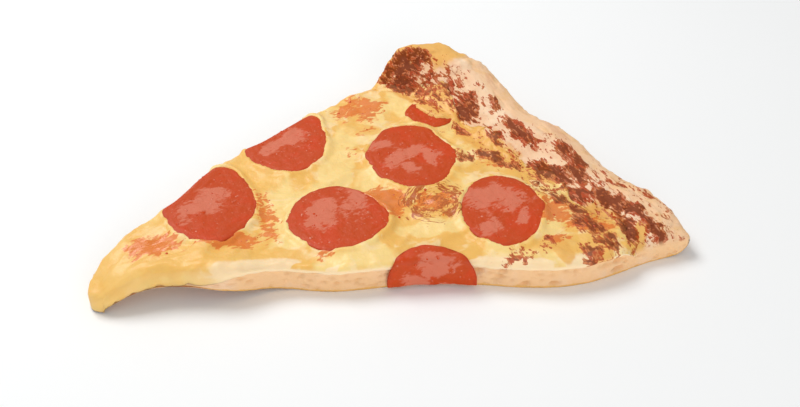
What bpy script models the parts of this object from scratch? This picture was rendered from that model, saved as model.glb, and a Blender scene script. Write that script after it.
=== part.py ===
"""A slice of pepperoni pizza, one eighth of an 18 inch pie, lying on its flat underside.

Frame: metres, +Z up. +X runs from the slice's tip to its crust, +Y from its front cut side to its back
one. The origin is on the flat underside, near the middle of the slice's length.

The slice is a dough base with a raised outer crust, a layer of melted cheese that runs to both cut
sides, and seven slices of pepperoni. Two of those are cut by the back side, one folds down over the
front side, and the smallest sits at the foot of the crust.
"""

import math

import bmesh
import bpy

MM = 0.001

# Plan of the slice, seen from above
TIP_X = -107 * MM  # the cheese at the very tip
CORNER_FRONT = (111 * MM, -90 * MM)  # outer crust at the front cut side
CORNER_BACK = (86 * MM, 75 * MM)  # outer crust at the back cut side
CRUST_BULGE = 4 * MM  # how far the crust's outer line stands out of its chord
CORNER_ROUND = 8 * MM  # how far that line pulls in at the cut ends
CORNER_REACH = 20 * MM  # the length over which it does so
TIP_FRONT_Y, TIP_BACK_Y = -6 * MM, 5 * MM  # its blunt end
TIP_ROUND = 3.5 * MM  # how far the blunt tip's sides lie behind its nose
BACK_BOW = 12 * MM  # the back cut side bows out by this much in its middle

# A hand cut swells out of its line, or with a minus sign dips inside it: start x, end x and depth of each
FRONT_SWELLS = ((-118 * MM, -48 * MM, -5.5 * MM), (-66 * MM, -20 * MM, -5 * MM), (3 * MM, 104 * MM, 11 * MM))
BACK_SWELLS = ((-86 * MM, -46 * MM, -4 * MM), (-55 * MM, -10 * MM, 3 * MM))

# Heights
DOUGH_TIP, DOUGH_BASE = 4.0 * MM, 8.0 * MM  # dough thickness at the tip and from DOUGH_FULL_X on
DOUGH_FULL_X = -40 * MM
CHEESE_TIP, CHEESE_BASE = 3.0 * MM, 3.8 * MM
CHEESE_SWELL = 0.45 * MM  # the melted surface rises and falls by this much
CHEESE_EDGE = 0.9 * MM  # it rounds down by this much at a cut side
ARCH_HEIGHT = 7.0 * MM  # the front of the underside lifts off the table and comes down again at the tip
ARCH_PEAK_X, ARCH_END_X = -82 * MM, -30 * MM
GAP = 0.35 * MM  # between one layer and the next

# Crust
RIM_INNER, RIM_OUTER = 17 * MM, 16 * MM  # widths of its inner slope and of its outer shoulder
RIM_MID_HEIGHT = 9.0 * MM  # where the crust's outer side stands out furthest
SHOULDER_POWER = 2.4  # 2 gives an elliptic shoulder, more a fuller one
CREST_FRONT, CREST_MIDDLE, CREST_BACK = 13.5 * MM, 19.5 * MM, 33 * MM
CREST_END_DROP, CREST_END_REACH = 7.5 * MM, 20 * MM  # it sinks towards the cut ends
LUMP_HEIGHT, LUMP_WIDTH = 0.9 * MM, 0.9 * MM  # lumps along the crust raise its crest and widen it
LUMP_LENGTH, LUMP_Y = 55 * MM, -26 * MM
CHEESE_LAP = 7.0 * MM  # how far the cheese climbs the crust's inner slope
CHEESE_LAP_UNEVEN, CHEESE_LAP_TURNS = 1.8 * MM, 4

# Pepperoni
SAUSAGE_THICK = 2.0 * MM
SAUSAGE_CUP = 0.8 * MM  # the rim of a baked slice curls up by this much
SAUSAGE_GAP = 0.65 * MM  # more than between the layers, because it bridges the cheese's hollows
SAUSAGE_SEGMENTS, SAUSAGE_RINGS = 28, 8

# name: centre, half sizes along and across its long axis, and the turn of that axis in degrees
WHOLE_SAUSAGE = {
    "pepperoni_1": ((-51.5 * MM, 15.5 * MM), (24 * MM, 18 * MM), 62),
    "pepperoni_2": ((-7 * MM, 41 * MM), (20.0 * MM, 18.0 * MM), 60),
    "pepperoni_3": ((35.5 * MM, 7.5 * MM), (22.0 * MM, 19.5 * MM), 70),
    "pepperoni_4": ((-10.5 * MM, -14 * MM), (20.5 * MM, 20.0 * MM), 20),
    "pepperoni_5": ((48 * MM, -42 * MM), (21.5 * MM, 17.5 * MM), 55),
    "pepperoni_7": ((59 * MM, 34 * MM), (12.5 * MM, 11.0 * MM), 0),
}
FOLDED_SAUSAGE = "pepperoni_6"
FOLDED_X = 8.5 * MM  # where the middle of the folded one crosses the front cut side
FOLDED_RADIUS = 16.2 * MM
FOLDED_CENTRE = 10.5 * MM  # its own centre lies this far past the edge
FOLDED_REST = 0.6 * MM  # its flap ends this far above the table
FOLD_RADIUS = 1.6 * MM
FOLD_INSET = 1.0 * MM  # the bend starts this far inside the edge

# Mesh stations, as shares of the length or the width
BREAD_STATIONS = (0, 0.035, 0.075, 0.12, 0.17, 0.22, 0.27, 0.325, 0.38, 0.435, 0.49, 0.545, 0.6, 0.655,
                  0.71, 0.765, 0.82, 0.87, 0.91, 0.945, 0.975, 1)
SLOPE_STATIONS = 6  # on the crust's inner slope, up to its crest
SHOULDER_STATIONS = 6  # from the crest down the outer side
SHOULDER_ANGLE = 68  # degrees from the crest at which the outer face begins
OUTER_LEVELS = 3
ACROSS = 18
ACROSS_EDGE = 0.018  # the first and last strips beside a cut side are this narrow
LAP_STATIONS = 3

COLOURS = {
    "dough": (0.86, 0.56, 0.30, 1),
    "cheese": (0.90, 0.60, 0.20, 1),
    "pepperoni": (0.58, 0.10, 0.035, 1),
}
ROUGHNESS = {"dough": 0.75, "cheese": 0.4, "pepperoni": 0.35}


def mix(a, b, share):
    return a + (b - a) * share


def smooth(x, start, end):
    """0 before start, 1 after end, and a smooth step between."""
    t = min(max((x - start) / (end - start), 0), 1)
    return t * t * (3 - 2 * t)


def hump(x, start, end):
    """0 outside start and end, and a smooth hump of height 1 between."""
    t = min(max((x - start) / (end - start), 0), 1)
    return math.sin(math.pi * t) ** 2


def along_cut(x, corner):
    """Share of the way from the tip to a crust corner."""
    return (x - TIP_X) / (corner[0] - TIP_X)


def front_y(x):
    """The front cut side's y at x."""
    chord = mix(TIP_FRONT_Y, CORNER_FRONT[1], along_cut(x, CORNER_FRONT))
    return chord - sum(depth * hump(x, start, end) for start, end, depth in FRONT_SWELLS)


def back_y(x):
    """The back cut side's y at x."""
    share = along_cut(x, CORNER_BACK)
    bow = BACK_BOW * math.sin(math.pi * min(max(share, 0), 1))
    chord = mix(TIP_BACK_Y, CORNER_BACK[1], share)
    return chord + bow + sum(depth * hump(x, start, end) for start, end, depth in BACK_SWELLS)


def to_crust_end(y):
    """Distance along y from the nearer cut end of the crust."""
    return min(y - CORNER_FRONT[1], CORNER_BACK[1] - y)


def lump(y):
    """Lumps and dips along the crust, from -1 to 1."""
    return math.sin(math.tau * (y - LUMP_Y) / LUMP_LENGTH)


def crust_x(y):
    """x of the crust's outer line at y."""
    share = (y - CORNER_FRONT[1]) / (CORNER_BACK[1] - CORNER_FRONT[1])
    chord = mix(CORNER_FRONT[0], CORNER_BACK[0], share)
    pulled_in = CORNER_ROUND * (1 - smooth(to_crust_end(y), 0, CORNER_REACH))
    return chord + CRUST_BULGE * 4 * share * (1 - share) - pulled_in + LUMP_WIDTH * lump(y)


def crest(y):
    """Height of the crust's crest at y."""
    to_back = smooth(y, -6 * MM, 56 * MM)
    to_front = smooth(-y, 5 * MM, 75 * MM)
    height = mix(mix(CREST_MIDDLE, CREST_BACK, to_back), CREST_FRONT, to_front)
    drop = CREST_END_DROP * (1 - smooth(to_crust_end(y), 0, CREST_END_REACH))
    return height - drop + LUMP_HEIGHT * lump(y)


def underside(x):
    """Height of the base above the table: nothing from ARCH_END_X on, and an arch before the tip."""
    if x > ARCH_PEAK_X:
        return ARCH_HEIGHT * (1 - smooth(x, ARCH_PEAK_X, ARCH_END_X))
    return ARCH_HEIGHT * math.sin(math.pi / 2 * (x - TIP_X) / (ARCH_PEAK_X - TIP_X))


def shoulder(inwards):
    """Share of the crest's height at a distance inside the crust's outer line."""
    out = min(max(1 - inwards / RIM_OUTER, 0), 1)
    return (1 - out**SHOULDER_POWER) ** (1 / SHOULDER_POWER)


def dough_top(x, y):
    """Height of the dough: a flat base, the crust's inner slope, its crest and its outer shoulder."""
    base = underside(x) + mix(DOUGH_TIP, DOUGH_BASE, smooth(x, TIP_X, DOUGH_FULL_X))
    inwards = crust_x(y) - x
    if inwards > RIM_OUTER:
        return mix(crest(y), base, smooth(inwards, RIM_OUTER, RIM_OUTER + RIM_INNER))
    return mix(RIM_MID_HEIGHT, crest(y), shoulder(inwards))


def cheese_thickness(x, y):
    """The cheese is even on the base, rounded at a cut side, and thins as it climbs the crust."""
    full = mix(CHEESE_TIP, CHEESE_BASE, smooth(x, TIP_X, DOUGH_FULL_X))
    swell = CHEESE_SWELL * math.sin(x / (9 * MM) + 1.3) * math.sin(y / (7 * MM) + 0.4)
    to_cut = min(y - front_y(x), back_y(x) - y)
    rounding = CHEESE_EDGE * (1 - smooth(to_cut, 0, 4 * MM))
    climbed = smooth(RIM_INNER + RIM_OUTER - (crust_x(y) - x), -4 * MM, CHEESE_LAP + CHEESE_LAP_UNEVEN)
    return mix(full + swell - rounding, 1.3 * MM, climbed)


def cheese_top(x, y):
    return dough_top(x, y) + GAP + cheese_thickness(x, y)


def across_shares():
    """Shares of the width, from the front cut side to the back one, with a narrow strip beside each."""
    inner = [mix(ACROSS_EDGE, 1 - ACROSS_EDGE, i / (ACROSS - 2)) for i in range(ACROSS - 1)]
    return [0, *inner, 1]


def material(kind):
    found = bpy.data.materials.get(kind)
    if found:
        return found
    made = bpy.data.materials.new(kind)
    made.use_nodes = True
    shader = made.node_tree.nodes["Principled BSDF"]
    shader.inputs["Base Color"].default_value = COLOURS[kind]
    shader.inputs["Roughness"].default_value = ROUGHNESS[kind]
    shader.inputs["Metallic"].default_value = 0
    return made


def add_object(name, work, kind, collection):
    """One named object from a finished bmesh, whose faces are turned outwards if they point inwards."""
    if work.calc_volume(signed=True) < 0:
        bmesh.ops.reverse_faces(work, faces=work.faces)
    mesh = bpy.data.meshes.new(name)
    work.to_mesh(mesh)
    work.free()
    mesh.shade_smooth()
    mesh.set_sharp_from_angle(angle=math.radians(50))
    mesh.materials.append(material(kind))
    made = bpy.data.objects.new(name, mesh)
    collection.objects.link(made)
    return made


def block(name, counts, place, kind, collection):
    """A cube cut into counts cells along each axis, whose corners place(i, j, k) then moves."""
    work = bmesh.new()
    bmesh.ops.create_cube(work, size=1)
    for axis, count in enumerate(counts):
        along = [e for e in work.edges if abs(e.verts[0].co[axis] - e.verts[1].co[axis]) > 0.5]
        if count > 1:
            bmesh.ops.subdivide_edges(work, edges=along, cuts=count - 1, use_grid_fill=True)
    for vertex in work.verts:
        i, j, k = (round((c + 0.5) * n) for c, n in zip(vertex.co, counts))
        vertex.co = place(i, j, k)
    return add_object(name, work, kind, collection)


def nose_x(v):
    """x at which the dough's blunt tip ends, at a share v of the width."""
    return TIP_X + 2 * MM + TIP_ROUND * (2 * v - 1) ** 2


def rim_point(outwards, v):
    """The point a distance outside the crust's inner foot, at a share v of the width."""
    y = mix(CORNER_FRONT[1], CORNER_BACK[1], v)
    for _ in range(8):  # the cut sides spread with x, so x and y are settled together
        x = crust_x(y) - RIM_OUTER - RIM_INNER + outwards
        y = mix(front_y(x), back_y(x), v)
    return x, y


def bread_point(share, v):
    """The point at a share of the way from the nose to the crust's inner foot."""
    x = mix(nose_x(v), rim_point(0, v)[0], share)
    return x, mix(front_y(x), back_y(x), v)


def make_dough(collection):
    """Stations run from the tip to the crust's foot, up its inner slope and down its outer shoulder."""
    slope = [RIM_INNER * i / SLOPE_STATIONS for i in range(1, SLOPE_STATIONS + 1)]
    angles = [math.radians(SHOULDER_ANGLE) * i / SHOULDER_STATIONS for i in range(1, SHOULDER_STATIONS + 1)]
    rim = slope + [RIM_INNER + RIM_OUTER * math.sin(a) for a in angles]
    shares = across_shares()
    bread = len(BREAD_STATIONS)

    def place(i, j, k):
        v = shares[j]
        x, y = bread_point(BREAD_STATIONS[i], v) if i < bread else rim_point(rim[i - bread], v)
        low = mix(RIM_MID_HEIGHT, underside(x), shoulder(crust_x(y) - x))
        z = mix(low, dough_top(x, y), k / OUTER_LEVELS)
        if i == bread + len(rim) - 1 and 0 < k < OUTER_LEVELS:  # the outer face bulges to the outer line
            x, y = rim_point(RIM_INNER + RIM_OUTER, v)
        return x, y, z

    counts = (bread + len(rim) - 1, ACROSS, OUTER_LEVELS)
    return block("dough", counts, place, "dough", collection)


def make_cheese(collection):
    """The layer on the dough, from the lip that hangs over the tip to the uneven edge on the crust."""
    shares = across_shares()
    bread = len(BREAD_STATIONS)

    def place(i, j, k):
        v = shares[j]
        if i == 0:  # the lip's outer edge, in front of the dough
            y = mix(TIP_FRONT_Y, TIP_BACK_Y, mix(0.5, v, 0.85))
            return nose_x(v) - 2 * MM, y, mix(0.6 * MM, DOUGH_TIP + 1.2 * MM, k)
        if i == 1:
            x, y = bread_point(0, v)
            x -= 0.5 * MM
        elif i <= bread:
            x, y = bread_point(BREAD_STATIONS[i - 1], v)
        else:
            lap = CHEESE_LAP + CHEESE_LAP_UNEVEN * math.sin(CHEESE_LAP_TURNS * math.tau * v)
            x, y = rim_point(lap * (i - bread) / LAP_STATIONS, v)
        base = dough_top(max(x, TIP_X + 2 * MM), y) + GAP
        return x, y, base + cheese_thickness(x, y) * k

    return block("cheese", (bread + LAP_STATIONS, ACROSS, 1), place, "cheese", collection)


def reach(centre, direction, radius):
    """How far a slice of pepperoni goes from its centre before its own rim or a cut side ends it."""
    clear = 0.2 * MM
    step = 0.1 * MM
    gone = 0
    while gone < radius:
        x, y = (c + d * (gone + step) for c, d in zip(centre, direction))
        if not front_y(x) + clear < y < back_y(x) - clear:
            return gone
        gone += step
    return radius


def make_whole_sausage(name, centre, half_sizes, turn, collection):
    """A ball pressed to a thin round slice that lies on the cheese, with its rim curled up a little."""
    work = bmesh.new()
    bmesh.ops.create_uvsphere(work, u_segments=SAUSAGE_SEGMENTS, v_segments=SAUSAGE_RINGS, radius=1)
    for vertex in work.verts:
        out = min(math.hypot(vertex.co.x, vertex.co.y), 1)
        angle = math.atan2(vertex.co.y, vertex.co.x)
        direction = (math.cos(angle), math.sin(angle))
        turned = angle - math.radians(turn)
        a, b = half_sizes
        radius = a * b / math.hypot(b * math.cos(turned), a * math.sin(turned))
        spread = out * reach(centre, direction, radius)
        x, y = (c + d * spread for c, d in zip(centre, direction))
        cup = SAUSAGE_CUP * out**4
        body = SAUSAGE_THICK * (0.5 + 0.5 * math.copysign((1 - out**6) ** 0.5, vertex.co.z))
        vertex.co = (x, y, cheese_top(x, y) + SAUSAGE_GAP + cup + body)
    return add_object(name, work, "pepperoni", collection)


def make_folded_sausage(collection):
    """A slice that lies partly on the cheese and folds down over the front cut side."""
    cells_along, top_cells, bend_cells, flap_cells = 12, 6, 3, 5
    slope = math.atan2(CORNER_FRONT[1] - TIP_FRONT_Y, CORNER_FRONT[0] - TIP_X)
    along = (math.cos(slope), math.sin(slope))
    bend = FOLD_RADIUS * math.pi / 2
    flap = cheese_top(FOLDED_X, front_y(FOLDED_X)) + SAUSAGE_GAP - FOLD_RADIUS - FOLDED_REST
    far_end = FOLDED_CENTRE - FOLDED_RADIUS * 0.985

    def from_edge(x, inside):
        return x - along[1] * inside, front_y(x) + along[0] * inside

    def place(i, j, k):
        # t is the way along the slice, from its far end on the cheese to the flap's end
        if j <= top_cells:
            t = far_end * math.cos(math.pi / 2 * j / top_cells)
        elif j <= top_cells + bend_cells:
            t = bend * (j - top_cells) / bend_cells
        else:
            t = bend + flap * (j - top_cells - bend_cells) / flap_cells
        half_chord = math.sqrt(FOLDED_RADIUS**2 - (t - FOLDED_CENTRE) ** 2)
        edge_x = FOLDED_X + along[0] * half_chord * (2 * i / cells_along - 1)
        thick = SAUSAGE_THICK * 0.8 * k
        inside = FOLD_INSET - min(t, 0)
        drop = -thick
        if t > 0:
            fold = min(t / FOLD_RADIUS, math.pi / 2)
            inside -= (FOLD_RADIUS + thick) * math.sin(fold)
            drop = FOLD_RADIUS - (FOLD_RADIUS + thick) * math.cos(fold) + max(t - bend, 0)
        x, y = from_edge(edge_x, inside)
        return x, y, cheese_top(*from_edge(edge_x, max(inside, FOLD_INSET))) + SAUSAGE_GAP - drop

    counts = (cells_along, top_cells + bend_cells + flap_cells, 1)
    return block(FOLDED_SAUSAGE, counts, place, "pepperoni", collection)


def main():
    for old in list(bpy.data.objects):
        bpy.data.objects.remove(old)
    collection = bpy.data.collections.new("pizza_slice")
    bpy.context.scene.collection.children.link(collection)
    make_dough(collection)
    make_cheese(collection)
    for name, (centre, half_sizes, turn) in WHOLE_SAUSAGE.items():
        make_whole_sausage(name, centre, half_sizes, turn, collection)
    make_folded_sausage(collection)


main()
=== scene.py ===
"""The looks of a slice of pepperoni pizza, made around the fixed frame of its solids.

Metres, +Z up, +X from the slice's tip to its crust, +Y from its front cut side to its back one.

The dough, the cheese and the folded slice of pepperoni are closed blocks of a fine grid, which the functions
under "Form" shape and noise then raises and sinks. The other slices of pepperoni come from one Geometry Nodes
tree and are laid on the cheese. Crumbs and beads of oil are strewn by a second tree. How toasted, golden or
greasy each spot is, is worked out under "Marks" and kept in attributes that the materials read.
"""

import math
from itertools import product

import bpy
import numpy as np
from bpy.props import FloatProperty, FloatVectorProperty, IntProperty, PointerProperty
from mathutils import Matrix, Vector


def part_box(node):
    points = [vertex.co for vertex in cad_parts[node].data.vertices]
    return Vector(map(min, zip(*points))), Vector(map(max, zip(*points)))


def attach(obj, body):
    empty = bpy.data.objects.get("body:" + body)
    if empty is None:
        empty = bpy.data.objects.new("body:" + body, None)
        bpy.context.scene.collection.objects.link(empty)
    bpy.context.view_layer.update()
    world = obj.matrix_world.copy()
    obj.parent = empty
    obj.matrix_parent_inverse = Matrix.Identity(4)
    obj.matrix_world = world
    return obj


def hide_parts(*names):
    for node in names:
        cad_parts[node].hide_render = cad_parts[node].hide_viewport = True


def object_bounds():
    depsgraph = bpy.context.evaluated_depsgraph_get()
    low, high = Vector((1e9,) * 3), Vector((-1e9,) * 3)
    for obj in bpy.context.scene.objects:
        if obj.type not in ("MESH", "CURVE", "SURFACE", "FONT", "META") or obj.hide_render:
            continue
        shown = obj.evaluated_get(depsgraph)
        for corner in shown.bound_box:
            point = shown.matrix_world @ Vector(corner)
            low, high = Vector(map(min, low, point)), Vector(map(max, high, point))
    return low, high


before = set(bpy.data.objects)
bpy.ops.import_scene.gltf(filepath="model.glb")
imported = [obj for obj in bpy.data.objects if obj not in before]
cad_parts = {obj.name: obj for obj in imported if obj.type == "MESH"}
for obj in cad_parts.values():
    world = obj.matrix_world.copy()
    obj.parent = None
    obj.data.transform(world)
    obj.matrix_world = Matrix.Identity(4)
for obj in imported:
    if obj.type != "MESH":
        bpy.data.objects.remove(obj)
CAD_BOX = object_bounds()

bl_info = {
    "name": "Pepperoni pizza slice",
    "version": (1, 0, 0),
    "blender": (4, 5, 0),
    "location": "3D View > Sidebar > Pizza",
    "description": "Builds a slice of pepperoni pizza and the pale table it lies on",
    "category": "Add Mesh",
}

MM = 0.001

# ---------------------------------------------------------------- Sizes of the solids, which the looks follow

TIP_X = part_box("cheese")[0].x
CORNER_FRONT = (111 * MM, -90 * MM)
CORNER_BACK = (86 * MM, 75 * MM)
CRUST_BULGE = 4 * MM
CORNER_ROUND, CORNER_REACH = 8 * MM, 20 * MM
TIP_FRONT_Y, TIP_BACK_Y = -6 * MM, 5 * MM
TIP_ROUND = 3.5 * MM
BACK_BOW = 12 * MM
FRONT_SWELLS = ((-118 * MM, -48 * MM, -5.5 * MM), (-66 * MM, -20 * MM, -5 * MM), (3 * MM, 104 * MM, 11 * MM))
BACK_SWELLS = ((-86 * MM, -46 * MM, -4 * MM), (-55 * MM, -10 * MM, 3 * MM))

DOUGH_TIP, DOUGH_BASE, DOUGH_FULL_X = 4 * MM, 8 * MM, -40 * MM
CHEESE_TIP, CHEESE_BASE = 3 * MM, 3.8 * MM
ARCH_HEIGHT, ARCH_PEAK_X, ARCH_END_X = 7 * MM, -82 * MM, -30 * MM
RIM_INNER, RIM_OUTER = 17 * MM, 16 * MM
RIM_WIDTH = RIM_INNER + RIM_OUTER
RIM_MID_HEIGHT = 9 * MM
SHOULDER_POWER = 2.4
CREST_FRONT, CREST_MIDDLE, CREST_BACK = 13.5 * MM, 19.5 * MM, 33 * MM
CREST_FRONT_DROP, CREST_FRONT_REACH = 3 * MM, 20 * MM
CREST_BACK_DROP, CREST_BACK_REACH = 7.5 * MM, 14 * MM
LUMP_HEIGHT, LUMP_LENGTH, LUMP_Y = 0.9 * MM, 55 * MM, -26 * MM
CHEESE_LAP, CHEESE_LAP_UNEVEN, CHEESE_LAP_TURNS = 7 * MM, 1.8 * MM, 4
CHEESE_CLEAR, LAP_THICKNESS = 0.35 * MM, 1.3 * MM
# what the looks add to the solids' smooth shape
SIDE_SWELL, SIDE_SWELL_Y = 2.5 * MM, (6 * MM, 62 * MM)
SADDLE, SADDLE_Y = 1.6 * MM, (38 * MM, 60 * MM)
FRONT_CORNER = 5 * MM
END_ROUND = 4 * MM
SIDE_RISE = 1.2 * MM  # how much higher the dough reaches at its cut sides than under the cheese
SIDE_RISE_REACH, SIDE_RISE_X = 5 * MM, (TIP_X + 40 * MM, TIP_X + 60 * MM)
DRAPE_FRONT_X, DRAPE_BACK_X, DRAPE_FADE = -78 * MM, -92 * MM, 26 * MM  # where the cheese hangs down a side

# Pepperoni: centre, half sizes along and across its long axis, and the turn of that axis in degrees
WHOLE_SLICES = {
    1: ((-51.5 * MM, 15.5 * MM), (24 * MM, 18 * MM), 62),
    2: ((-7 * MM, 41 * MM), (20 * MM, 18 * MM), 60),
    3: ((35.5 * MM, 7.5 * MM), (22 * MM, 19.5 * MM), 70),
    4: ((-10.5 * MM, -14 * MM), (20.5 * MM, 20 * MM), 20),
    5: ((48 * MM, -42 * MM), (21.5 * MM, 17.5 * MM), 55),
    7: ((60.4 * MM, 31.8 * MM), (12 * MM, 11 * MM), 0),
}
FOLDED_SLICE, BURIED_SLICE = 6, 7
FOLDED_X, FOLDED_RADIUS, FOLDED_CENTRE, FOLDED_REST = 9.1 * MM, 16.2 * MM, 10.5 * MM, 1.6 * MM
FOLD_RADIUS, FOLD_INSET = 1.6 * MM, 1 * MM
OVAL_POWER = 1.95  # 2 makes an ellipse, and less a more pointed oval
SLICE_LIFT = 0.65 * MM  # the underside of a slice, above the cheese
SLICE_SUNK = 0.75 * MM  # how much lower than that a slice has settled into the melted cheese
FOLDED_SUNK = 0.2 * MM  # the same for the folded slice
FOLDED_THIN = 0.8  # its thickness, as a share of a whole slice's
FOLDED_SPAN = 0.985  # how far across the disc its grid reaches, which keeps the far rim from closing to a point
# Where a slice's rim is drawn out to a point: its direction in degrees and how far, as a share
SLICE_POINTS = {
    1: ((55, 0.18), (172, 0.03), (-50, -0.02), (-110, 0.06)),
    2: ((34, 0.32), (0, 0.03), (-90, 0.03)),
    3: ((85, 0.08), (50, 0.1), (18, -0.07), (-28, 0.04), (-95, 0.07), (-125, 0.03), (178, -0.08)),
    4: ((10, -0.09), (34, -0.05), (-41, 0.05), (162, 0.04), (122, -0.03), (-160, -0.04), (-110, 0.02)),
    5: ((65, 0.08), (-95, 0.08), (-125, 0.03), (-161, -0.04), (136, -0.04)),
}
POINT_SPREAD = math.radians(19)
SLICE_SHIFT = (0.7 * MM, 1.2 * MM)  # from where the solids of the slices lie

# ---------------------------------------------------------------- Where each look sits

# On the crust: way in from its outer line, y, half length along y, half width, turn in degrees and strength
CHAR_MARKS = (
    (21, 60, 7.5, 4.5, 5, 0.98), (27.5, 59, 8, 5.5, -9, 1.0), (23, 67, 5, 6, 0, 0.95),
    (25, 46, 9, 4.5, -8, 0.8), (25, 42, 12, 5, 0, 0.7), (21, 38, 5, 2.5, 0, 0.8), (31, 40, 9, 4, 0, 0.8),
    (23, 24, 11, 4.2, 0, 0.95), (31, 17, 8, 3, -4, 0.85), (15, 15, 6, 3, -20, 0.8),
    (26, 3, 9, 2, -11, 0.75), (20, -6, 14, 3.2, -11, 1.0), (36, -5, 8, 4.5, 12, 0.88),
    (46, -3, 7, 4, 0, 0.66), (34, -17, 8, 4, 11, 0.85), (30, -20, 6, 4, -5, 0.8), (24, -31, 14, 4, 8, 1.05),
    (14, -28, 12, 4.5, -3, 0.9), (18.5, -38, 8, 4.5, 0, 0.9), (32, -43, 8, 4, -5, 0.85),
    (24, -50, 8, 4, 10, 0.95), (31, -54, 7, 4, -10, 0.95), (18, -62, 16, 4, 10, 1.05),
    (36, -65, 10, 5, -6, 1.0), (24, -74, 9, 4.5, 12, 1.05), (34, -76, 6, 4, 0, 1.0),
    (13, -79, 9, 3.8, 45, 1.0), (43, -79, 7, 4.5, 27, 1.0), (11, -60, 14, 5, 5, 0.45),
)
# where the crust has stayed free of toasting between those
BARE_MARKS = ((28.5, -65, 5.5, 2.8, 0, 0.9), (17.5, -81, 4, 2, 0, 0.8), (13, 56, 14, 5, 0, 0.8))
GOLD_MARKS = (
    (13, 57, 15, 8.5, 0, 1.2), (31, 50, 12, 5, 0, 1.0), (30, 6, 16, 5.5, 0, 1.25), (30, -8, 8, 5, 0, 0.9),
    (27, -30, 8, 4, 0, 0.9), (27, -62, 11, 5, 0, 1.15), (21, 69, 6, 8, 0, 1.2), (19, -79, 6, 3.5, 0, 1.0),
    (37, -79, 9, 5, 0, 1.0), (54, -73, 6, 4, 0, 0.9), (41, 28, 8, 5, 0, 0.7),
)
# On the cheese: x, y, half length, half width, turn in degrees and strength
GREASE_MARKS = (
    (-79, 4, 11, 6, -20, 0.95), (-87, 2, 4, 3, 0, 0.7), (-52, -6, 12, 5, -25, 1.0),
    (-34, 2, 15, 4.5, 75, 0.72), (11, -12, 10, 10, -20, 1.1), (35, 53, 13, 11, -30, 0.85),
    (30, 36, 6, 3, 0, 0.4), (66, -50, 11, 8, -20, 0.95), (18, 22, 4, 6, 0, 0.5), (-24, -30, 4, 2, -20, 0.4),
    (60, -66, 6, 4, 0, 0.8), (29, -23, 9, 8, -20, 0.85), (74, -64, 10, 6, -20, 0.8),
    (64, -8, 9, 4, -60, 0.6),
)
DEEP_MARKS = (
    (-76, -6, 16, 8, -25, 1.0), (-50, -18, 22, 7, -25, 1.0), (-26, 30, 12, 14, 60, 0.9),
    (-29, 45, 6, 8, 30, 0.9), (28, 38, 9, 6, -30, 0.8), (62, -71, 14, 5, -25, 0.85),
)
LIGHT_MARKS = ((9, 23, 26, 7, 56, 1.0), (20, -36, 15, 5, -25, 0.9))
SPOT_MARKS = ((38, -67, 8, 4, -12, 0.68), (53, -67, 5, 3.5, 25, 0.66))

BUBBLE_PLACE, BUBBLE_RADIUS = (29 * MM, -24 * MM), 12.5 * MM  # the burst bubble
BUBBLE_RIM, BUBBLE_MIDDLE, BUBBLE_BREADTH = 0.8, 0.3, 0.3  # its two browned rings, as shares of that radius
SCORCHED, SCORCHED_FRONT, SCORCHED_BACK = 0.39, 0.27, 0.17  # how toasted the crust's inner slope is all over

# Painted sheen on each slice of pepperoni: pale patches that stand in for the gloss of the light on the meat. As
# shares of its half sizes: along, across, half length, half width and turn
PAINTED_SHEEN_MARKS = {
    1: ((-0.06, 0.19, 0.62, 0.34, -44), (0.3, -0.1, 0.25, 0.2, -44)),
    2: ((0.18, 0.03, 0.6, 0.28, -47), (-0.2, 0.3, 0.3, 0.2, -47)),
    3: ((0.41, 0.58, 0.28, 0.28, 0), (0.05, 0.09, 0.56, 0.24, -57), (-0.09, -0.42, 0.42, 0.15, 6),
        (-0.4, 0.07, 0.18, 0.14, 0)),
    4: ((-0.18, 0.28, 0.52, 0.3, 40), (0.55, 0.08, 0.46, 0.36, 40)),
    5: ((0.32, 0.2, 0.76, 0.4, -85), (-0.52, 0.22, 0.3, 0.26, 0), (-0.18, -0.45, 0.36, 0.16, -30)),
    6: ((0.1, 0.45, 0.5, 0.25, 10), (-0.35, -0.1, 0.35, 0.35, 0), (0.45, -0.3, 0.35, 0.2, 0)),
    7: (),
}


def srgb(red, green, blue):
    """A colour given in display values from 0 to 255, as the linear values that shaders take."""
    shares = [value / 255 for value in (red, green, blue)]
    return tuple(s / 12.92 if s <= 0.04045 else ((s + 0.055) / 1.055) ** 2.4 for s in shares)


def length(name, description, default):
    return FloatProperty(name=name, description=description, default=default, unit="LENGTH", precision=5)


def share(name, description, default):
    return FloatProperty(name=name, description=description, default=default, min=0, soft_max=1)


def bearing(name, description, degrees):
    return FloatProperty(name=name, description=description, default=math.radians(degrees), subtype="ANGLE")


def colour(name, description, default):
    return FloatVectorProperty(name=name, description=description, default=default, subtype="COLOR",
                               min=0, max=1)


class PizzaDoughSettings(bpy.types.PropertyGroup):
    lumps: length("Lumps", "Height of the crust's broad lumps", 1.3 * MM)
    blisters: length("Blisters", "Height of the blisters on the crust", 1.5 * MM)
    cracks: length("Cracks", "Depth of the fine cracks in the skin", 0.45 * MM)
    crumb_depth: length("Crumb depth", "Depth of the holes in the cut sides", 2.0 * MM)
    char_height: length("Char height", "How far scorched crust stands up", 0.8 * MM)
    skin: colour("Skin", "Pale baked crust", srgb(248, 208, 170))
    skin_light: colour("Light skin", "Palest, floury crust", srgb(253, 222, 188))
    peach: colour("Peach", "The crust's outer side", srgb(251, 205, 160))
    rosy: colour("Rosy", "Lightly toasted crust", srgb(214, 136, 98))
    gold: colour("Gold", "Golden baked crust", srgb(236, 180, 92))
    brown: colour("Brown", "Toasted crust", srgb(188, 98, 44))
    russet: colour("Russet", "Redder toasted crust", srgb(182, 66, 20))
    char: colour("Char", "Scorched crust", srgb(132, 50, 6))
    crumb: colour("Crumb", "The crumb in a cut side", srgb(248, 202, 152))
    base: colour("Base", "The baked underside", srgb(214, 158, 98))


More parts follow.
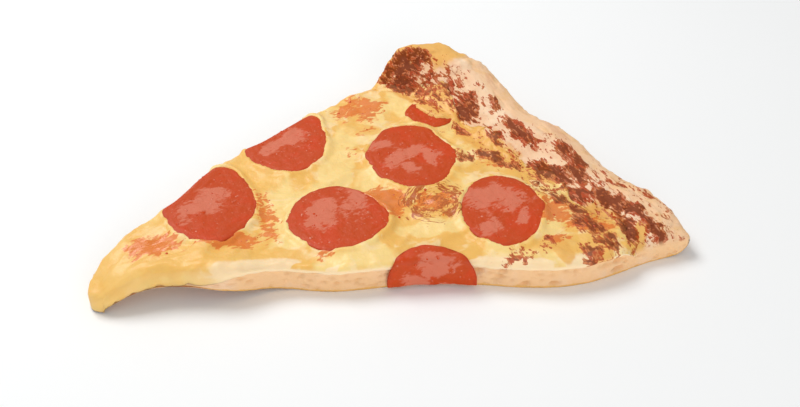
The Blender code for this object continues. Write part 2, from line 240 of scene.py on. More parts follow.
class PizzaCheeseSettings(bpy.types.PropertyGroup):
    swell: length("Swell", "Height of the cheese's broad swells", 0.8 * MM)
    lumps: length("Lumps", "Height of its melted lumps", 0.8 * MM)
    bubbles: length("Bubbles", "Height of its bubbles", 0.9 * MM)
    sag: length("Sag", "How far the cheese hangs down over a cut side", 0.7 * MM)
    melted: colour("Melted", "Plain melted cheese", srgb(251, 216, 140))
    deep: colour("Deep", "Thicker, yellower cheese", srgb(242, 189, 98))
    light: colour("Light", "Palest cheese", srgb(254, 221, 164))
    # Edge is the cut side's own colour, and also the painted highlight along the front top edge
    edge: colour("Edge", "Creamy cheese at the cut side", srgb(255, 225, 182))
    gold: colour("Gold", "Golden browned cheese", srgb(238, 180, 92))
    tip: colour("Tip", "Cheese drawn out over the tip", srgb(240, 188, 98))
    rosy: colour("Rosy", "Lightly browned cheese", srgb(216, 132, 80))
    brown: colour("Brown", "Brown cheese", srgb(190, 100, 42))
    russet: colour("Russet", "Redder brown cheese", srgb(184, 66, 20))
    char: colour("Char", "Scorched cheese", srgb(132, 50, 6))
    grease: colour("Grease", "Orange fat from the sausage", srgb(227, 116, 42))


class PizzaPepperoniSettings(bpy.types.PropertyGroup):
    thickness: length("Thickness", "Thickness of a slice", 2.0 * MM)
    curl: length("Curl", "How far a slice's rim curls up", 0.35 * MM)
    grain: length("Grain", "Relief of the meat's grain", 0.34 * MM)
    segments: IntProperty(name="Segments", description="Faces round a slice", default=112, min=12)
    rings: IntProperty(name="Rings", description="Faces from pole to pole", default=72, min=8)
    seed: IntProperty(name="Seed", description="Changes the grain", default=5, min=0)
    meat: colour("Meat", "Baked sausage", srgb(200, 71, 14))
    bright: colour("Bright", "Oily, brighter sausage", srgb(208, 68, 14))
    # Pale is the fat's own colour, and also the painted sheen on the broad pale patches
    pale: colour("Pale", "Dry patches and fat", srgb(220, 126, 98))
    rim: colour("Rim", "The crisp rim", srgb(188, 60, 18))


class PizzaScatterSettings(bpy.types.PropertyGroup):
    crumbs: IntProperty(name="Crumbs", description="Crumbs for each square metre", default=60000, min=0)
    crumb_size: length("Crumb size", "Half the size of the largest crumb", 0.75 * MM)
    beads: IntProperty(name="Beads", description="Oil beads for each square metre", default=30000, min=0)
    bead_size: length("Bead size", "Half the size of the largest bead", 0.6 * MM)
    seed: IntProperty(name="Seed", description="Changes where they lie", default=3, min=0)


class PizzaStageSettings(bpy.types.PropertyGroup):
    elevation: bearing("Elevation", "Camera above the horizon", 38)
    azimuth: bearing("Azimuth", "Camera round the slice", -30)
    distance: length("Distance", "Camera to its aim", 421.9 * MM)
    lens: FloatProperty(name="Lens", description="Focal length in millimetres", default=45, min=1)
    sky: share("Sky", "Strength of the even light from all round", 0.44)
    key: FloatProperty(name="Key light", description="Power in watts", default=8, min=0)
    fill: FloatProperty(name="Fill light", description="Power in watts", default=6.2, min=0)


# ---------------------------------------------------------------- Noise

GRADIENTS = np.random.default_rng(11).normal(size=(256, 3))
GRADIENTS /= np.linalg.norm(GRADIENTS, axis=1)[:, None]


def scrambled(cells, seed):
    """A whole number from 0 to 255 for each cell of a grid, the same on every run."""
    mixed = cells[:, 0] * 73856093 ^ cells[:, 1] * 19349663 ^ cells[:, 2] * 83492791 ^ (seed * 2654435)
    mixed = (mixed ^ (mixed >> 13)) * 1274126177
    return (mixed ^ (mixed >> 16)) & 255


def noise(points, size, seed=0):
    """Smooth noise, about -1 to 1, with features of the given size."""
    spread = points / size
    cell = np.floor(spread).astype(np.int64)
    part = spread - cell
    fade = part**3 * (part * (part * 6 - 15) + 10)
    total = np.zeros(len(points))
    for corner in product((0, 1), repeat=3):
        weight = np.where(corner, fade, 1 - fade).prod(axis=1)
        total += weight * ((part - corner) * GRADIENTS[scrambled(cell + corner, seed)]).sum(axis=1)
    return total * 1.7


def cells(points, size, seed=0):
    """Distance to the nearest of a scatter of centres, as a share of size, and that centre's own number."""
    spread = points / size
    cell = np.floor(spread).astype(np.int64)
    nearest = np.full(len(points), 9.0)
    number = np.zeros(len(points))
    for corner in product((-1, 0, 1), repeat=3):
        there = cell + corner
        jitter = np.stack([scrambled(there, seed + k) for k in range(3)], axis=1) / 255
        gap = np.linalg.norm(there + jitter - spread, axis=1)
        closer = gap < nearest
        nearest = np.where(closer, gap, nearest)
        number = np.where(closer, scrambled(there, seed + 9) / 255, number)
    return nearest, number


def domes(points, size, seed, kept):
    """Rounded bubbles from 0 to 1, for a share kept of the centres, each of its own size."""
    gap, number = cells(points, size, seed)
    radius = 0.3 + 0.3 * number
    return np.where(number < kept, np.clip(1 - (gap / radius) ** 2, 0, 1) ** 0.8, 0)


# ---------------------------------------------------------------- Form


def mix(a, b, way):
    return a + (b - a) * way


def smooth(x, start, end):
    """0 before start, 1 after end, and a smooth step between."""
    t = np.clip((x - start) / (end - start), 0, 1)
    return t * t * (3 - 2 * t)


def hump(x, start, end):
    """0 outside start and end, and a smooth hump of height 1 between."""
    return np.sin(math.pi * np.clip((x - start) / (end - start), 0, 1)) ** 2


def front_y(x):
    """The front cut side's y at x."""
    chord = mix(TIP_FRONT_Y, CORNER_FRONT[1], (x - TIP_X) / (CORNER_FRONT[0] - TIP_X))
    return chord - sum(depth * hump(x, start, end) for start, end, depth in FRONT_SWELLS)


def back_y(x):
    """The back cut side's y at x."""
    way = (x - TIP_X) / (CORNER_BACK[0] - TIP_X)
    chord = mix(TIP_BACK_Y, CORNER_BACK[1], way) + BACK_BOW * np.sin(math.pi * np.clip(way, 0, 1))
    return chord + sum(depth * hump(x, start, end) for start, end, depth in BACK_SWELLS)


def inside_sides(x, y):
    """Distance inside the nearer cut side, less than 0 outside it."""
    return np.minimum(y - front_y(x), back_y(x) - y)


def draped(x, front):
    """1 where the cheese hangs down the cut side, near the tip, and 0 where the side is bare."""
    start = np.where(front, DRAPE_FRONT_X, DRAPE_BACK_X)
    return 1 - smooth(x, start, start + DRAPE_FADE)


def to_crust_end(y):
    return np.minimum(y - CORNER_FRONT[1], CORNER_BACK[1] - y)


def lump(y):
    return np.sin(math.tau * (y - LUMP_Y) / LUMP_LENGTH)


def crust_line(y):
    """x of the crust's outer line at y, as the solids have it, from which the marks are measured."""
    way = (y - CORNER_FRONT[1]) / (CORNER_BACK[1] - CORNER_FRONT[1])
    chord = mix(CORNER_FRONT[0], CORNER_BACK[0], way)
    pulled_in = CORNER_ROUND * (1 - smooth(to_crust_end(y), 0, CORNER_REACH))
    return chord + CRUST_BULGE * 4 * way * (1 - way) - pulled_in + LUMP_HEIGHT * lump(y)


def crust_x(y):
    """x of the crust's outer line at y, with its swelling side and its fuller front corner."""
    corner = FRONT_CORNER * (1 - smooth(y - CORNER_FRONT[1], 0, CORNER_REACH))
    return crust_line(y) + corner + SIDE_SWELL * hump(y, *SIDE_SWELL_Y)


def crest(y):
    """Height of the crust's crest at y."""
    rear = mix(CREST_MIDDLE, CREST_BACK, smooth(y, -6 * MM, 56 * MM))
    height = mix(rear, CREST_FRONT, smooth(-y, 5 * MM, 75 * MM)) + LUMP_HEIGHT * lump(y)
    front = CREST_FRONT_DROP * (1 - smooth(y - CORNER_FRONT[1], 0, CREST_FRONT_REACH))
    back = CREST_BACK_DROP * (1 - smooth(CORNER_BACK[1] - y, 0, CREST_BACK_REACH))
    return height - front - back - SADDLE * hump(y, *SADDLE_Y)


def mid_height(y):
    """Height at which the crust's outer face stands out furthest."""
    return np.minimum(RIM_MID_HEIGHT, 0.6 * crest(y))


def end_round(x, y, inwards):
    """How far the crust is rounded down towards its two cut ends."""
    gap = np.clip(inside_sides(x, y) / END_ROUND, 0, 1)
    on_crust = smooth(RIM_WIDTH - inwards, 0, 10 * MM) * shoulder(inwards) ** 2
    return END_ROUND * (1 - np.sqrt(1 - (1 - gap) ** 2)) * on_crust


def underside(x):
    """Height of the base above the table: an arch before the tip, and nothing behind it."""
    falling = ARCH_HEIGHT * (1 - smooth(x, ARCH_PEAK_X, ARCH_END_X))
    rising = ARCH_HEIGHT * np.sin(math.pi / 2 * (x - TIP_X) / (ARCH_PEAK_X - TIP_X))
    return np.where(x > ARCH_PEAK_X, falling, rising)


def shoulder(inwards):
    """Share of the crest's height at a distance inside the crust's outer line."""
    out = np.clip(1 - inwards / RIM_OUTER, 0, 1)
    return (1 - out**SHOULDER_POWER) ** (1 / SHOULDER_POWER)


def side_rise(x, y):
    """How much higher the dough reaches near its cut sides, where the cheese is as much thinner."""
    return SIDE_RISE * (1 - smooth(inside_sides(x, y), 0, SIDE_RISE_REACH)) * smooth(x, *SIDE_RISE_X)


def dough_top(x, y):
    full = mix(DOUGH_TIP, DOUGH_BASE, smooth(x, TIP_X, DOUGH_FULL_X))
    base = underside(x) + full + side_rise(x, y)
    inwards = crust_x(y) - x
    slope = mix(crest(y), base, smooth(inwards, RIM_OUTER, RIM_WIDTH))
    top = np.where(inwards > RIM_OUTER, slope, mix(mid_height(y), crest(y), shoulder(inwards)))
    return top - end_round(x, y, inwards)


def cheese_thickness(x, y):
    full = mix(CHEESE_TIP, CHEESE_BASE, smooth(x, TIP_X, DOUGH_FULL_X)) - side_rise(x, y)
    climbed = smooth(RIM_WIDTH - (crust_x(y) - x), -4 * MM, CHEESE_LAP + CHEESE_LAP_UNEVEN)
    return mix(full, LAP_THICKNESS, climbed)


def cheese_top(x, y):
    """The smooth top of the cheese, which the sausage lies on."""
    return dough_top(x, y) + CHEESE_CLEAR + cheese_thickness(x, y)


def nose_x(v):
    """x at which the dough's blunt tip ends, at a share v of the width."""
    return TIP_X + 2 * MM + TIP_ROUND * (2 * v - 1) ** 2


def rim_point(outwards, v):
    """The point a distance outside the crust's inner foot, at a share v of the width."""
    y = mix(CORNER_FRONT[1], CORNER_BACK[1], v)
    x = y
    for _ in range(8):
        x = crust_x(y) - RIM_WIDTH + outwards
        y = mix(front_y(x), back_y(x), v)
    return x, y


def bread_point(way, v):
    """The point at a share of the way from the nose to the crust's inner foot."""
    x = mix(nose_x(v), rim_point(0 * v, v)[0], way)
    return x, mix(front_y(x), back_y(x), v)


def slice_centre(number):
    place = WHOLE_SLICES[number][0]
    return place[0] + SLICE_SHIFT[0], place[1] + SLICE_SHIFT[1]


def slice_edge(x, y, number):
    """How far a point lies outside the rim of a slice of pepperoni, and less than 0 inside it."""
    _, (a, b), turn = WHOLE_SLICES[number]
    centre = slice_centre(number)
    dx, dy = x - centre[0], y - centre[1]
    angle = np.arctan2(dy, dx) - math.radians(turn)
    return np.hypot(dx, dy) - slice_radius(angle, a, b, number)


def slice_radius(angle, a, b, number):
    """An oval with an uneven rim, drawn out to the slice's points."""
    along, across = np.abs(np.cos(angle)) / a, np.abs(np.sin(angle)) / b
    oval = (along**OVAL_POWER + across**OVAL_POWER) ** (-1 / OVAL_POWER)
    uneven = 0.012 * np.sin(3 * angle + number) + 0.01 * np.sin(7 * angle + 2 * number)
    uneven = uneven + 0.006 * np.sin(13 * angle + number) + 0.004 * np.sin(29 * angle + 3 * number)
    for direction, drawn_out in SLICE_POINTS.get(number, ()):
        turn = angle + math.radians(WHOLE_SLICES[number][2] - direction)
        away = np.abs((turn + math.pi) % math.tau - math.pi)
        uneven = uneven + drawn_out * np.exp(-((away / POINT_SPREAD) ** 2))
    return oval * (1 + uneven)


# ---------------------------------------------------------------- Marks


def marked(along, across, marks, wander):
    """The strongest mark at each place: full strength inside an ellipse, and less with distance from it.

    along and across are in metres, the marks in millimetres. wander shifts the places, for ragged edges.
    """
    found = np.zeros(len(along))
    for u, v, half_length, half_width, turn, strength in marks:
        du, dv = (along + wander[0]) / MM - u, (across + wander[1]) / MM - v
        c, s = math.cos(math.radians(turn)), math.sin(math.radians(turn))
        gap = np.hypot((du * c + dv * s) / half_length, (dv * c - du * s) / half_width)
        found = np.maximum(found, strength * (1 - smooth(gap, 0.35, 1.5)))
    return found


def wandering(points, amount, size, seed):
    return amount * noise(points, size, seed), amount * noise(points, size, seed + 40)


def crust_marks(points, marks, seed):
    """Strength of the marks whose places are given on the crust. A crust mark's length runs along y."""
    inwards = crust_line(points[:, 1]) - points[:, 0]
    turned = [(y, inside, half_length, half_width, turn, strength)
              for inside, y, half_length, half_width, turn, strength in marks]
    return marked(points[:, 1], inwards, turned, wandering(points, 2.2 * MM, 5 * MM, seed))


def scorching(points):
    """How much of each spot is toasted: the marks, and a band of streaks down the crust's inner slope."""
    y = points[:, 1]
    inwards = crust_line(y) - points[:, 0]
    at_back = smooth(y, 40 * MM, 58 * MM)
    band = smooth(inwards - 4 * MM * at_back, 8 * MM, 17 * MM)
    band = band * (1 - smooth(inwards + 5 * MM * at_back, 32 * MM, 46 * MM))
    amount = SCORCHED + SCORCHED_FRONT * smooth(-y, 0, 30 * MM) + SCORCHED_BACK * at_back
    freckles = 0.5 * smooth(-y, 15 * MM, 55 * MM) * smooth(crust_x(y) - points[:, 0], 0, 3 * MM)
    freckles = freckles * (1 - smooth(inwards, 14 * MM, 20 * MM))
    patchy = 0.75 + 0.35 * noise(points, 9 * MM, 21)
    found = np.maximum(crust_marks(points, CHAR_MARKS, 1), np.maximum(band * amount, freckles) * patchy)
    return found * (1 - crust_marks(points, BARE_MARKS, 5))


def burst_bubble(points):
    """The uneven browned ring that a large burst bubble leaves in the cheese."""
    x, y = (points[:, axis] + shift for axis, shift in enumerate(wandering(points, 3.2 * MM, 7 * MM, 77)))
    gap = np.hypot((x - BUBBLE_PLACE[0]) / BUBBLE_RADIUS, (y - BUBBLE_PLACE[1]) / BUBBLE_RADIUS)
    outer = np.exp(-(((gap - BUBBLE_RIM) / BUBBLE_BREADTH) ** 2)) * smooth(noise(points, 6 * MM, 79), -0.6, 0.2)
    inner = np.exp(-(((gap - BUBBLE_MIDDLE) / BUBBLE_BREADTH) ** 2)) * smooth(noise(points, 5 * MM, 80), -0.7, 0.3)
    return np.maximum(outer, inner)


def cheese_marks(points, marks, seed):
    return marked(points[:, 0], points[:, 1], marks, wandering(points, 2.5 * MM, 6 * MM, seed))


# ---------------------------------------------------------------- Meshes


def block_skin(counts):
    """Lattice places on the skin of a block of counts cells, and its outward quads."""
    shape = tuple(c + 1 for c in counts)
    lattice = np.indices(shape)
    skin = np.zeros(shape, bool)
    for axis, count in enumerate(counts):
        skin |= (lattice[axis] == 0) | (lattice[axis] == count)
    number = np.full(shape, -1)
    number[skin] = np.arange(skin.sum())
    quads = []
    for axis in range(3):
        for end in (0, -1):
            grid = number.take(end, axis=axis)
            around = np.stack((grid[:-1, :-1], grid[1:, :-1], grid[1:, 1:], grid[:-1, 1:]), axis=-1)
            around = around.reshape(-1, 4)
            faces_in = (end == 0) != (axis == 1)
            quads.append(around[:, ::-1] if faces_in else around)
    return [lattice[axis][skin] for axis in range(3)], np.concatenate(quads)


def mesh_object(name, points, faces, material):
    mesh = bpy.data.meshes.new(name)
    mesh.from_pydata(points.tolist(), [], faces.tolist())
    mesh.materials.append(material)
    made = bpy.data.objects.new(name, mesh)
    bpy.context.scene.collection.objects.link(made)
    return made


def points_of(mesh):
    flat = np.empty(len(mesh.vertices) * 3)
    mesh.vertices.foreach_get("co", flat)
    return flat.reshape(-1, 3)


def normals_of(mesh):
    flat = np.empty(len(mesh.vertices) * 3)
    mesh.vertex_normals.foreach_get("vector", flat)
    return flat.reshape(-1, 3)


def held_under(values, limit):
    """The values, eased towards the limit over its last half millimetre so that none passes it."""
    ease = 0.5 * MM
    over = np.maximum(values - (limit - ease), 0)
    return np.where(over > 0, limit - ease * np.exp(-over / ease), values)


def move_points(mesh, points):
    """Puts the vertices where they belong, inside the box that the solids take up."""
    low, high = CAD_BOX
    inside = points.copy()
    for axis in range(3):
        inside[:, axis] = held_under(inside[:, axis], high[axis])
        if axis < 2:
            inside[:, axis] = -held_under(-inside[:, axis], -low[axis])
    inside[:, 2] = np.maximum(inside[:, 2], 0)
    mesh.vertices.foreach_set("co", inside.ravel())
    mesh.update()
    mesh.shade_smooth()


def keep(mesh, **values):
    """Stores values, one for each vertex, as attributes that the materials read."""
    for name, value in values.items():
        kept = mesh.attributes.new(name, "FLOAT", "POINT")
        kept.data.foreach_set("value", np.ascontiguousarray(value, dtype=np.float32))


def finish_piece(piece, slot, *nodes):
    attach(piece, "root")
    if nodes:
        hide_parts(*nodes)


# ---------------------------------------------------------------- Nodes


def node(tree, kind, inputs=None, **settings):
    """A node with its settings made and its inputs linked or set."""
    made = tree.nodes.new(kind)
    for name, value in settings.items():
        setattr(made, name, value)
    for socket, value in (inputs or {}).items():
        if isinstance(value, bpy.types.NodeSocket):
            tree.links.new(value, made.inputs[socket])
        else:
            made.inputs[socket].default_value = value
    return made


def maths(tree, operation, *values):
    return node(tree, "ShaderNodeMath", dict(enumerate(values)), operation=operation).outputs[0]


def vector_maths(tree, operation, *values):
    return node(tree, "ShaderNodeVectorMath", dict(enumerate(values)), operation=operation).outputs[0]


def vector_length(tree, vector):
    return node(tree, "ShaderNodeVectorMath", {0: vector}, operation="LENGTH").outputs["Value"]


def attribute(tree, name):
    return node(tree, "ShaderNodeAttribute", attribute_name=name).outputs["Fac"]


def grain(tree, place, size, detail=3, roughness=0.55, distortion=0.0, stretch=(1, 1, 1)):
    """A noise texture from 0 to 1 whose features have the given size in metres."""
    spread = vector_maths(tree, "MULTIPLY", place, stretch)
    inputs = {"Vector": spread, "Scale": 1 / size, "Detail": detail, "Roughness": roughness,
              "Distortion": distortion}
    return node(tree, "ShaderNodeTexNoise", inputs).outputs["Fac"]


def step(tree, value, start, end):
    """0 where value is under start and 1 where it is over end."""
    inputs = {"Value": value, "From Min": start, "From Max": end}
    return node(tree, "ShaderNodeMapRange", inputs, interpolation_type="SMOOTHSTEP").outputs["Result"]


def ragged(tree, value, texture, amount, start, end):
    """A mask from an attribute, whose edge a texture breaks up."""
    shifted = maths(tree, "MULTIPLY_ADD", texture, amount, maths(tree, "ADD", value, -amount / 2))
    return step(tree, shifted, start, end)


def flecks(tree, place, width, stretch):
    """Streaks and patches from 0 to 1, spread evenly between, so that a share of them can be picked out."""
    thin = grain(tree, place, width, 2, 0.55, 0.8, stretch)
    wide = grain(tree, place, 4 * width, 2, 0.6, 1.2, tuple(math.sqrt(s) for s in stretch))
    both = maths(tree, "MULTIPLY_ADD", thin, 0.42, maths(tree, "MULTIPLY", wide, 0.58))
    inputs = {"Value": both, "From Min": 0.36, "From Max": 0.64}
    return node(tree, "ShaderNodeMapRange", inputs).outputs["Result"]


def covered(tree, wanted, texture, softness=0.07):
    """How far the texture is over what the wanted share of cover leaves bare, and the mask of that cover."""
    over = maths(tree, "ADD", maths(tree, "MULTIPLY_ADD", wanted, 1.1, -1.1), texture)
    return over, step(tree, over, -softness, softness)


MIX_FACTOR, MIX_A, MIX_B, MIX_RESULT = 0, 6, 7, 2


def blend(tree, share_of_b, a, b):
    """Colour a with a share of colour b. Each is a setting or a socket."""
    a, b = (c if isinstance(c, bpy.types.NodeSocket) else (*c, 1) for c in (a, b))
    made = node(tree, "ShaderNodeMix", {MIX_FACTOR: share_of_b, MIX_A: a, MIX_B: b}, data_type="RGBA")
    return made.outputs[MIX_RESULT]


def coat(tree, surface, over, mask, most):
    """The surface with a colour over it, which hides a share of it, most, where the mask is 1."""
    return blend(tree, maths(tree, "MULTIPLY", mask, most), surface, over)


SCATTER_SHARES = (1, 0.7, 0.45)  # how far red, green and blue light spreads under the surface


def new_material(name, roughness, scatter, scatter_radius, specular=0.4):
    """A Principled material, its node tree, its shader and the object's own coordinates."""
    made = bpy.data.materials.new(name)
    made.use_nodes = True
    tree = made.node_tree
    shader = tree.nodes["Principled BSDF"]
    shader.inputs["Roughness"].default_value = roughness
    shader.inputs["Subsurface Weight"].default_value = scatter
    shader.inputs["Subsurface Radius"].default_value = SCATTER_SHARES
    shader.inputs["Subsurface Scale"].default_value = scatter_radius
    shader.inputs["Specular IOR Level"].default_value = specular
    place = node(tree, "ShaderNodeTexCoord").outputs["Object"]
    return made, tree, shader, place


def connect(tree, shader, colour_socket, roughness, height, depth):
    tree.links.new(colour_socket, shader.inputs["Base Color"])
    tree.links.new(roughness, shader.inputs["Roughness"])
    bump = node(tree, "ShaderNodeBump", {"Height": height, "Distance": depth, "Strength": 1.0})
    tree.links.new(bump.outputs["Normal"], shader.inputs["Normal"])


# ---------------------------------------------------------------- Dough

BREAD_CELLS, SLOPE_CELLS, SHOULDER_CELLS = 150, 34, 46
ACROSS_CELLS, DOUGH_LEVELS = 150, 16
SHOULDER_ANGLE = 68
DRAPE_THICK = 0.9 * MM
CROWDING = 0.3  # how much closer together the cells lie at the cut sides


def crowded(count):
    """Shares from 0 to 1 that lie closer together towards both ends."""
    even = np.linspace(0, 1, count + 1)
    return even - CROWDING * np.sin(math.tau * even) / math.tau


def dough_points():
    """Vertices, quads and the share of cut side at each vertex."""
    counts = (BREAD_CELLS + SLOPE_CELLS + SHOULDER_CELLS, ACROSS_CELLS, DOUGH_LEVELS)
    (i, j, k), quads = block_skin(counts)
    v = crowded(ACROSS_CELLS)[j]
    level = k / DOUGH_LEVELS
    way = np.clip(i / BREAD_CELLS, 0, 1)
    up_slope = RIM_INNER * np.clip((i - BREAD_CELLS) / SLOPE_CELLS, 0, 1)
    angle = np.radians(SHOULDER_ANGLE) * np.clip((i - BREAD_CELLS - SLOPE_CELLS) / SHOULDER_CELLS, 0, 1)
    outwards = up_slope + RIM_OUTER * np.sin(angle)
    on_bread = i <= BREAD_CELLS
    bread, rim = bread_point(way, v), rim_point(outwards, v)
    x, y = (np.where(on_bread, b, r) for b, r in zip(bread, rim))
    middle = mid_height(y)
    low = mix(middle, underside(x), shoulder(crust_x(y) - x))
    z = mix(low, dough_top(x, y), level)
    # the outer face follows the same rounded profile down from the shoulder
    outer = i == counts[0]
    above = (z - middle) / (crest(y) - middle)
    below = (middle - z) / middle
    out = (1 - np.clip(np.maximum(above, below), 0, 1) ** SHOULDER_POWER) ** (1 / SHOULDER_POWER)
    face = rim_point(RIM_INNER + RIM_OUTER * out, v)
    x, y = np.where(outer, face[0], x), np.where(outer, face[1], y)
    # where the cheese hangs over a cut side, the dough stands back to make room
    y = y + DRAPE_THICK * (draped(x, True) * (j == 0) - draped(x, False) * (j == ACROSS_CELLS))
    cut = ((j == 0) | (j == ACROSS_CELLS)).astype(float)
    return np.stack((x, y, z), axis=1), quads, cut, level


def crumb_holes(points):
    """Holes of a risen crumb, from 0 to 1: many small and a few large, all wider than they are high."""
    flat = points * (0.62, 1, 1.05)
    small = domes(flat, 2.4 * MM, 21, 0.75)
    large = domes(flat + 0.01, 5.2 * MM, 31, 0.5)
    return np.maximum(0.55 * small, large)


def crust_relief(points, char, settings):
    """How far the crust's skin stands up: lumps, blisters and cracks, and crags where it is scorched."""
    along = points * (1.2, 0.75, 1.2)
    relief = settings.lumps * (0.7 * noise(along, 17 * MM, 1) + 0.35 * noise(points, 7.5 * MM, 2) - 0.2)
    relief += settings.blisters * domes(along, 11 * MM, 3, 0.4) * (0.5 + 0.5 * np.clip(char, 0, 1))
    relief += 0.4 * settings.blisters * domes(points, 5 * MM, 5, 0.6)
    relief -= settings.cracks * np.clip(1 - 5 * np.abs(noise(points, 9 * MM, 11)), 0, 1) ** 1.5
    crags = 1 - 2.2 * np.abs(noise(points * (1, 0.55, 1), 4.2 * MM, 12))
    crags = 0.3 + 0.6 * crags + 0.4 * noise(points, 2.2 * MM, 4)
    relief += settings.char_height * np.clip(char, 0, 1) * crags
    return relief + 0.14 * MM * noise(points, 1.9 * MM, 6)


def shape_dough(mesh, settings, cut, level):
    """Raises and sinks the dough's skin, tears its cut sides and keeps what its material reads."""
    points, normals = points_of(mesh), normals_of(mesh)
    inwards = crust_x(points[:, 1]) - points[:, 0]
    under = smooth(-normals[:, 2], 0.3, 0.8) * (1 - cut)
    skin = (1 - cut) * (1 - under) * smooth(RIM_WIDTH - inwards, 0, 9 * MM)
    char = scorching(points)
    gold = crust_marks(points, GOLD_MARKS, 2)
    mid = smooth(level, 0, 0.22) * smooth(1 - level, 0.02, 0.2)
    holes = crumb_holes(points)
    torn = 0.3 * MM * noise(points * (1, 1, 1.8), 2.6 * MM, 8)
    torn += 0.5 * MM * noise(points * (1, 1, 0.4), 11 * MM, 9)
    clear = smooth(inwards, 1 * MM, 6 * MM)
    shift = skin * crust_relief(points, char, settings)
    shift += cut * clear * (torn * (0.3 + 0.7 * mid) - settings.crumb_depth * holes * mid)
    shift -= under * 0.35 * MM * np.abs(noise(points, 6 * MM, 7))
    move_points(mesh, points + normals * shift[:, None])
    outside = smooth(RIM_OUTER + 3 * MM - inwards, 0, 9 * MM)
    low = outside * (1 - smooth(points[:, 2], 0, 14 * MM)) * (1 + 0.5 * noise(points, 14 * MM, 10))
    # hole marks the crumb's holes, which the material paints darker: painted shade in the holes
    keep(mesh, char=char, gold=np.maximum(gold, 0.65 * low), outside=outside, cut=cut, under=under,
         hole=holes * cut * mid, level=level, crumbs=np.clip(char, 0, 1) ** 3 * skin)


CRUST_STRETCH = (1.0, 0.24, 1.0)
FLECK_WIDTH = 1.05 * MM


def toasted(tree, place, settings, over):
    """The colours of toasted crust: rosy and brown in turn, darkest where over, the scorching, is deep."""
    tone = grain(tree, place, 5.5 * MM, 2, 0.6, 1.0, (1.0, 0.5, 1.0))
    elsewhere = vector_maths(tree, "ADD", place, (0.1, 0.2, 0.3))
    streak = grain(tree, elsewhere, 1.5 * MM, 2, 0.6, 1.0, CRUST_STRETCH)
    toast = blend(tree, step(tree, tone, 0.46, 0.54), settings.brown, settings.russet)
    toast = coat(tree, toast, settings.rosy, step(tree, streak, 0.5, 0.62), 0.85)
    deep = maths(tree, "MULTIPLY_ADD", tone, -1.0, maths(tree, "ADD", over, 0.5))
    deep = maths(tree, "MULTIPLY_ADD", streak, -0.5, maths(tree, "ADD", deep, 0.25))
    return blend(tree, step(tree, deep, 0.26, 0.48), toast, settings.char)


def dough_material(settings):
    made, tree, shader, place = new_material("Baked dough", 0.7, 0.12, 1.5 * MM, 0.14)
    broad = grain(tree, place, 16 * MM, 3)
    tone = grain(tree, place, 6 * MM, 3, 0.6, 0.8, CRUST_STRETCH)
    fine = grain(tree, place, 2.2 * MM, 5, 0.65)
    specks = grain(tree, place, 0.8 * MM, 3, 0.7)
    patches = grain(tree, place, 9 * MM, 4, 0.6, 0.6)
    char, gold, cut, under = (attribute(tree, name) for name in ("char", "gold", "cut", "under"))
    skin = blend(tree, step(tree, broad, 0.42, 0.66), settings.skin, settings.skin_light)
    outside = maths(tree, "MULTIPLY", ragged(tree, attribute(tree, "outside"), fine, 0.8, 0.35, 0.8), 0.75)
    skin = blend(tree, outside, skin, settings.peach)
    mottled = maths(tree, "MULTIPLY", outside, step(tree, patches, 0.48, 0.66))
    skin = coat(tree, skin, settings.gold, mottled, 0.4)
    skin = coat(tree, skin, settings.rosy, step(tree, tone, 0.52, 0.7), 0.3)
    skin = coat(tree, skin, settings.gold, ragged(tree, gold, fine, 0.6, 0.2, 0.75), 0.9)
    over, mask = covered(tree, char, flecks(tree, place, FLECK_WIDTH, CRUST_STRETCH))
    skin = coat(tree, skin, toasted(tree, place, settings, over), mask, 0.95)
    skin = coat(tree, skin, settings.brown, step(tree, specks, 0.66, 0.76), 0.35)
    crumb = blend(tree, step(tree, broad, 0.4, 0.7), settings.crumb, settings.skin)
    # painted shade: the crumb's holes are painted darker, in the underside's brown, as if in their own shadow
    crumb = coat(tree, crumb, settings.base, attribute(tree, "hole"), 0.65)
    bottom_line = step(tree, maths(tree, "MULTIPLY_ADD", fine, -0.16, attribute(tree, "level")), 0.04, -0.03)
    crumb = coat(tree, crumb, settings.gold, bottom_line, 0.8)
    base = blend(tree, ragged(tree, broad, fine, 0.5, 0.5, 0.72), settings.base, settings.brown)
    surface = blend(tree, cut, skin, crumb)
    surface = blend(tree, under, surface, base)
    roughness = maths(tree, "MULTIPLY_ADD", fine, 0.3, 0.5)
    height = maths(tree, "MULTIPLY_ADD", specks, 0.4, fine)
    connect(tree, shader, surface, roughness, height, 0.5 * MM)
    return made


class PIZZA_OT_dough(bpy.types.Operator):
    """Bakes the dough: its crust, its cut sides with their crumb, and its underside"""

    bl_idname = "pizza.dough"
    bl_label = "Dough"

    def execute(self, context):
        settings = context.scene.pizza_dough
        points, quads, cut, level = dough_points()
        piece = mesh_object("baked_dough", points, quads, dough_material(settings))
        shape_dough(piece.data, settings, cut, level)
        finish_piece(piece, "dough", "dough")
        return {"FINISHED"}


# ---------------------------------------------------------------- Cheese

LIP_CELLS, CHEESE_CELLS, LAP_CELLS, CHEESE_LEVELS = 8, 205, 16, 8
CHEESE_ACROSS = 165
LIP_REACH, LIP_LOW, LIP_HIGH = 2 * MM, 0.6 * MM, 4.4 * MM
LAP_SPREAD = 160 * MM  # over which the ragged end of the cheese on the crust is worked out
THINNED_CELLS, END_THICKNESS = 9, 0.15 * MM  # that end is thinned out over these cells
BEDDED = 0.5 * MM  # the underside of the cheese lies this far inside the dough
SIDE_BULGE = 0.75 * MM  # how far the cheese swells out of a cut side
DRAPE_CLEAR, DRAPE_RAGGED = 0.4 * MM, 2 * MM  # how high its drips end above the dough's underside
SIDE_REACH, SIDE_DROP = 2.6 * MM, 1.1 * MM  # the rounding of the cheese towards a bare cut side
DRAPE_REACH, DRAPE_DROP = 5 * MM, 2.2 * MM  # and towards one that it hangs over
SLICE_SINK = 0.55 * MM  # the cheese lies this far under the sausage's smooth bed
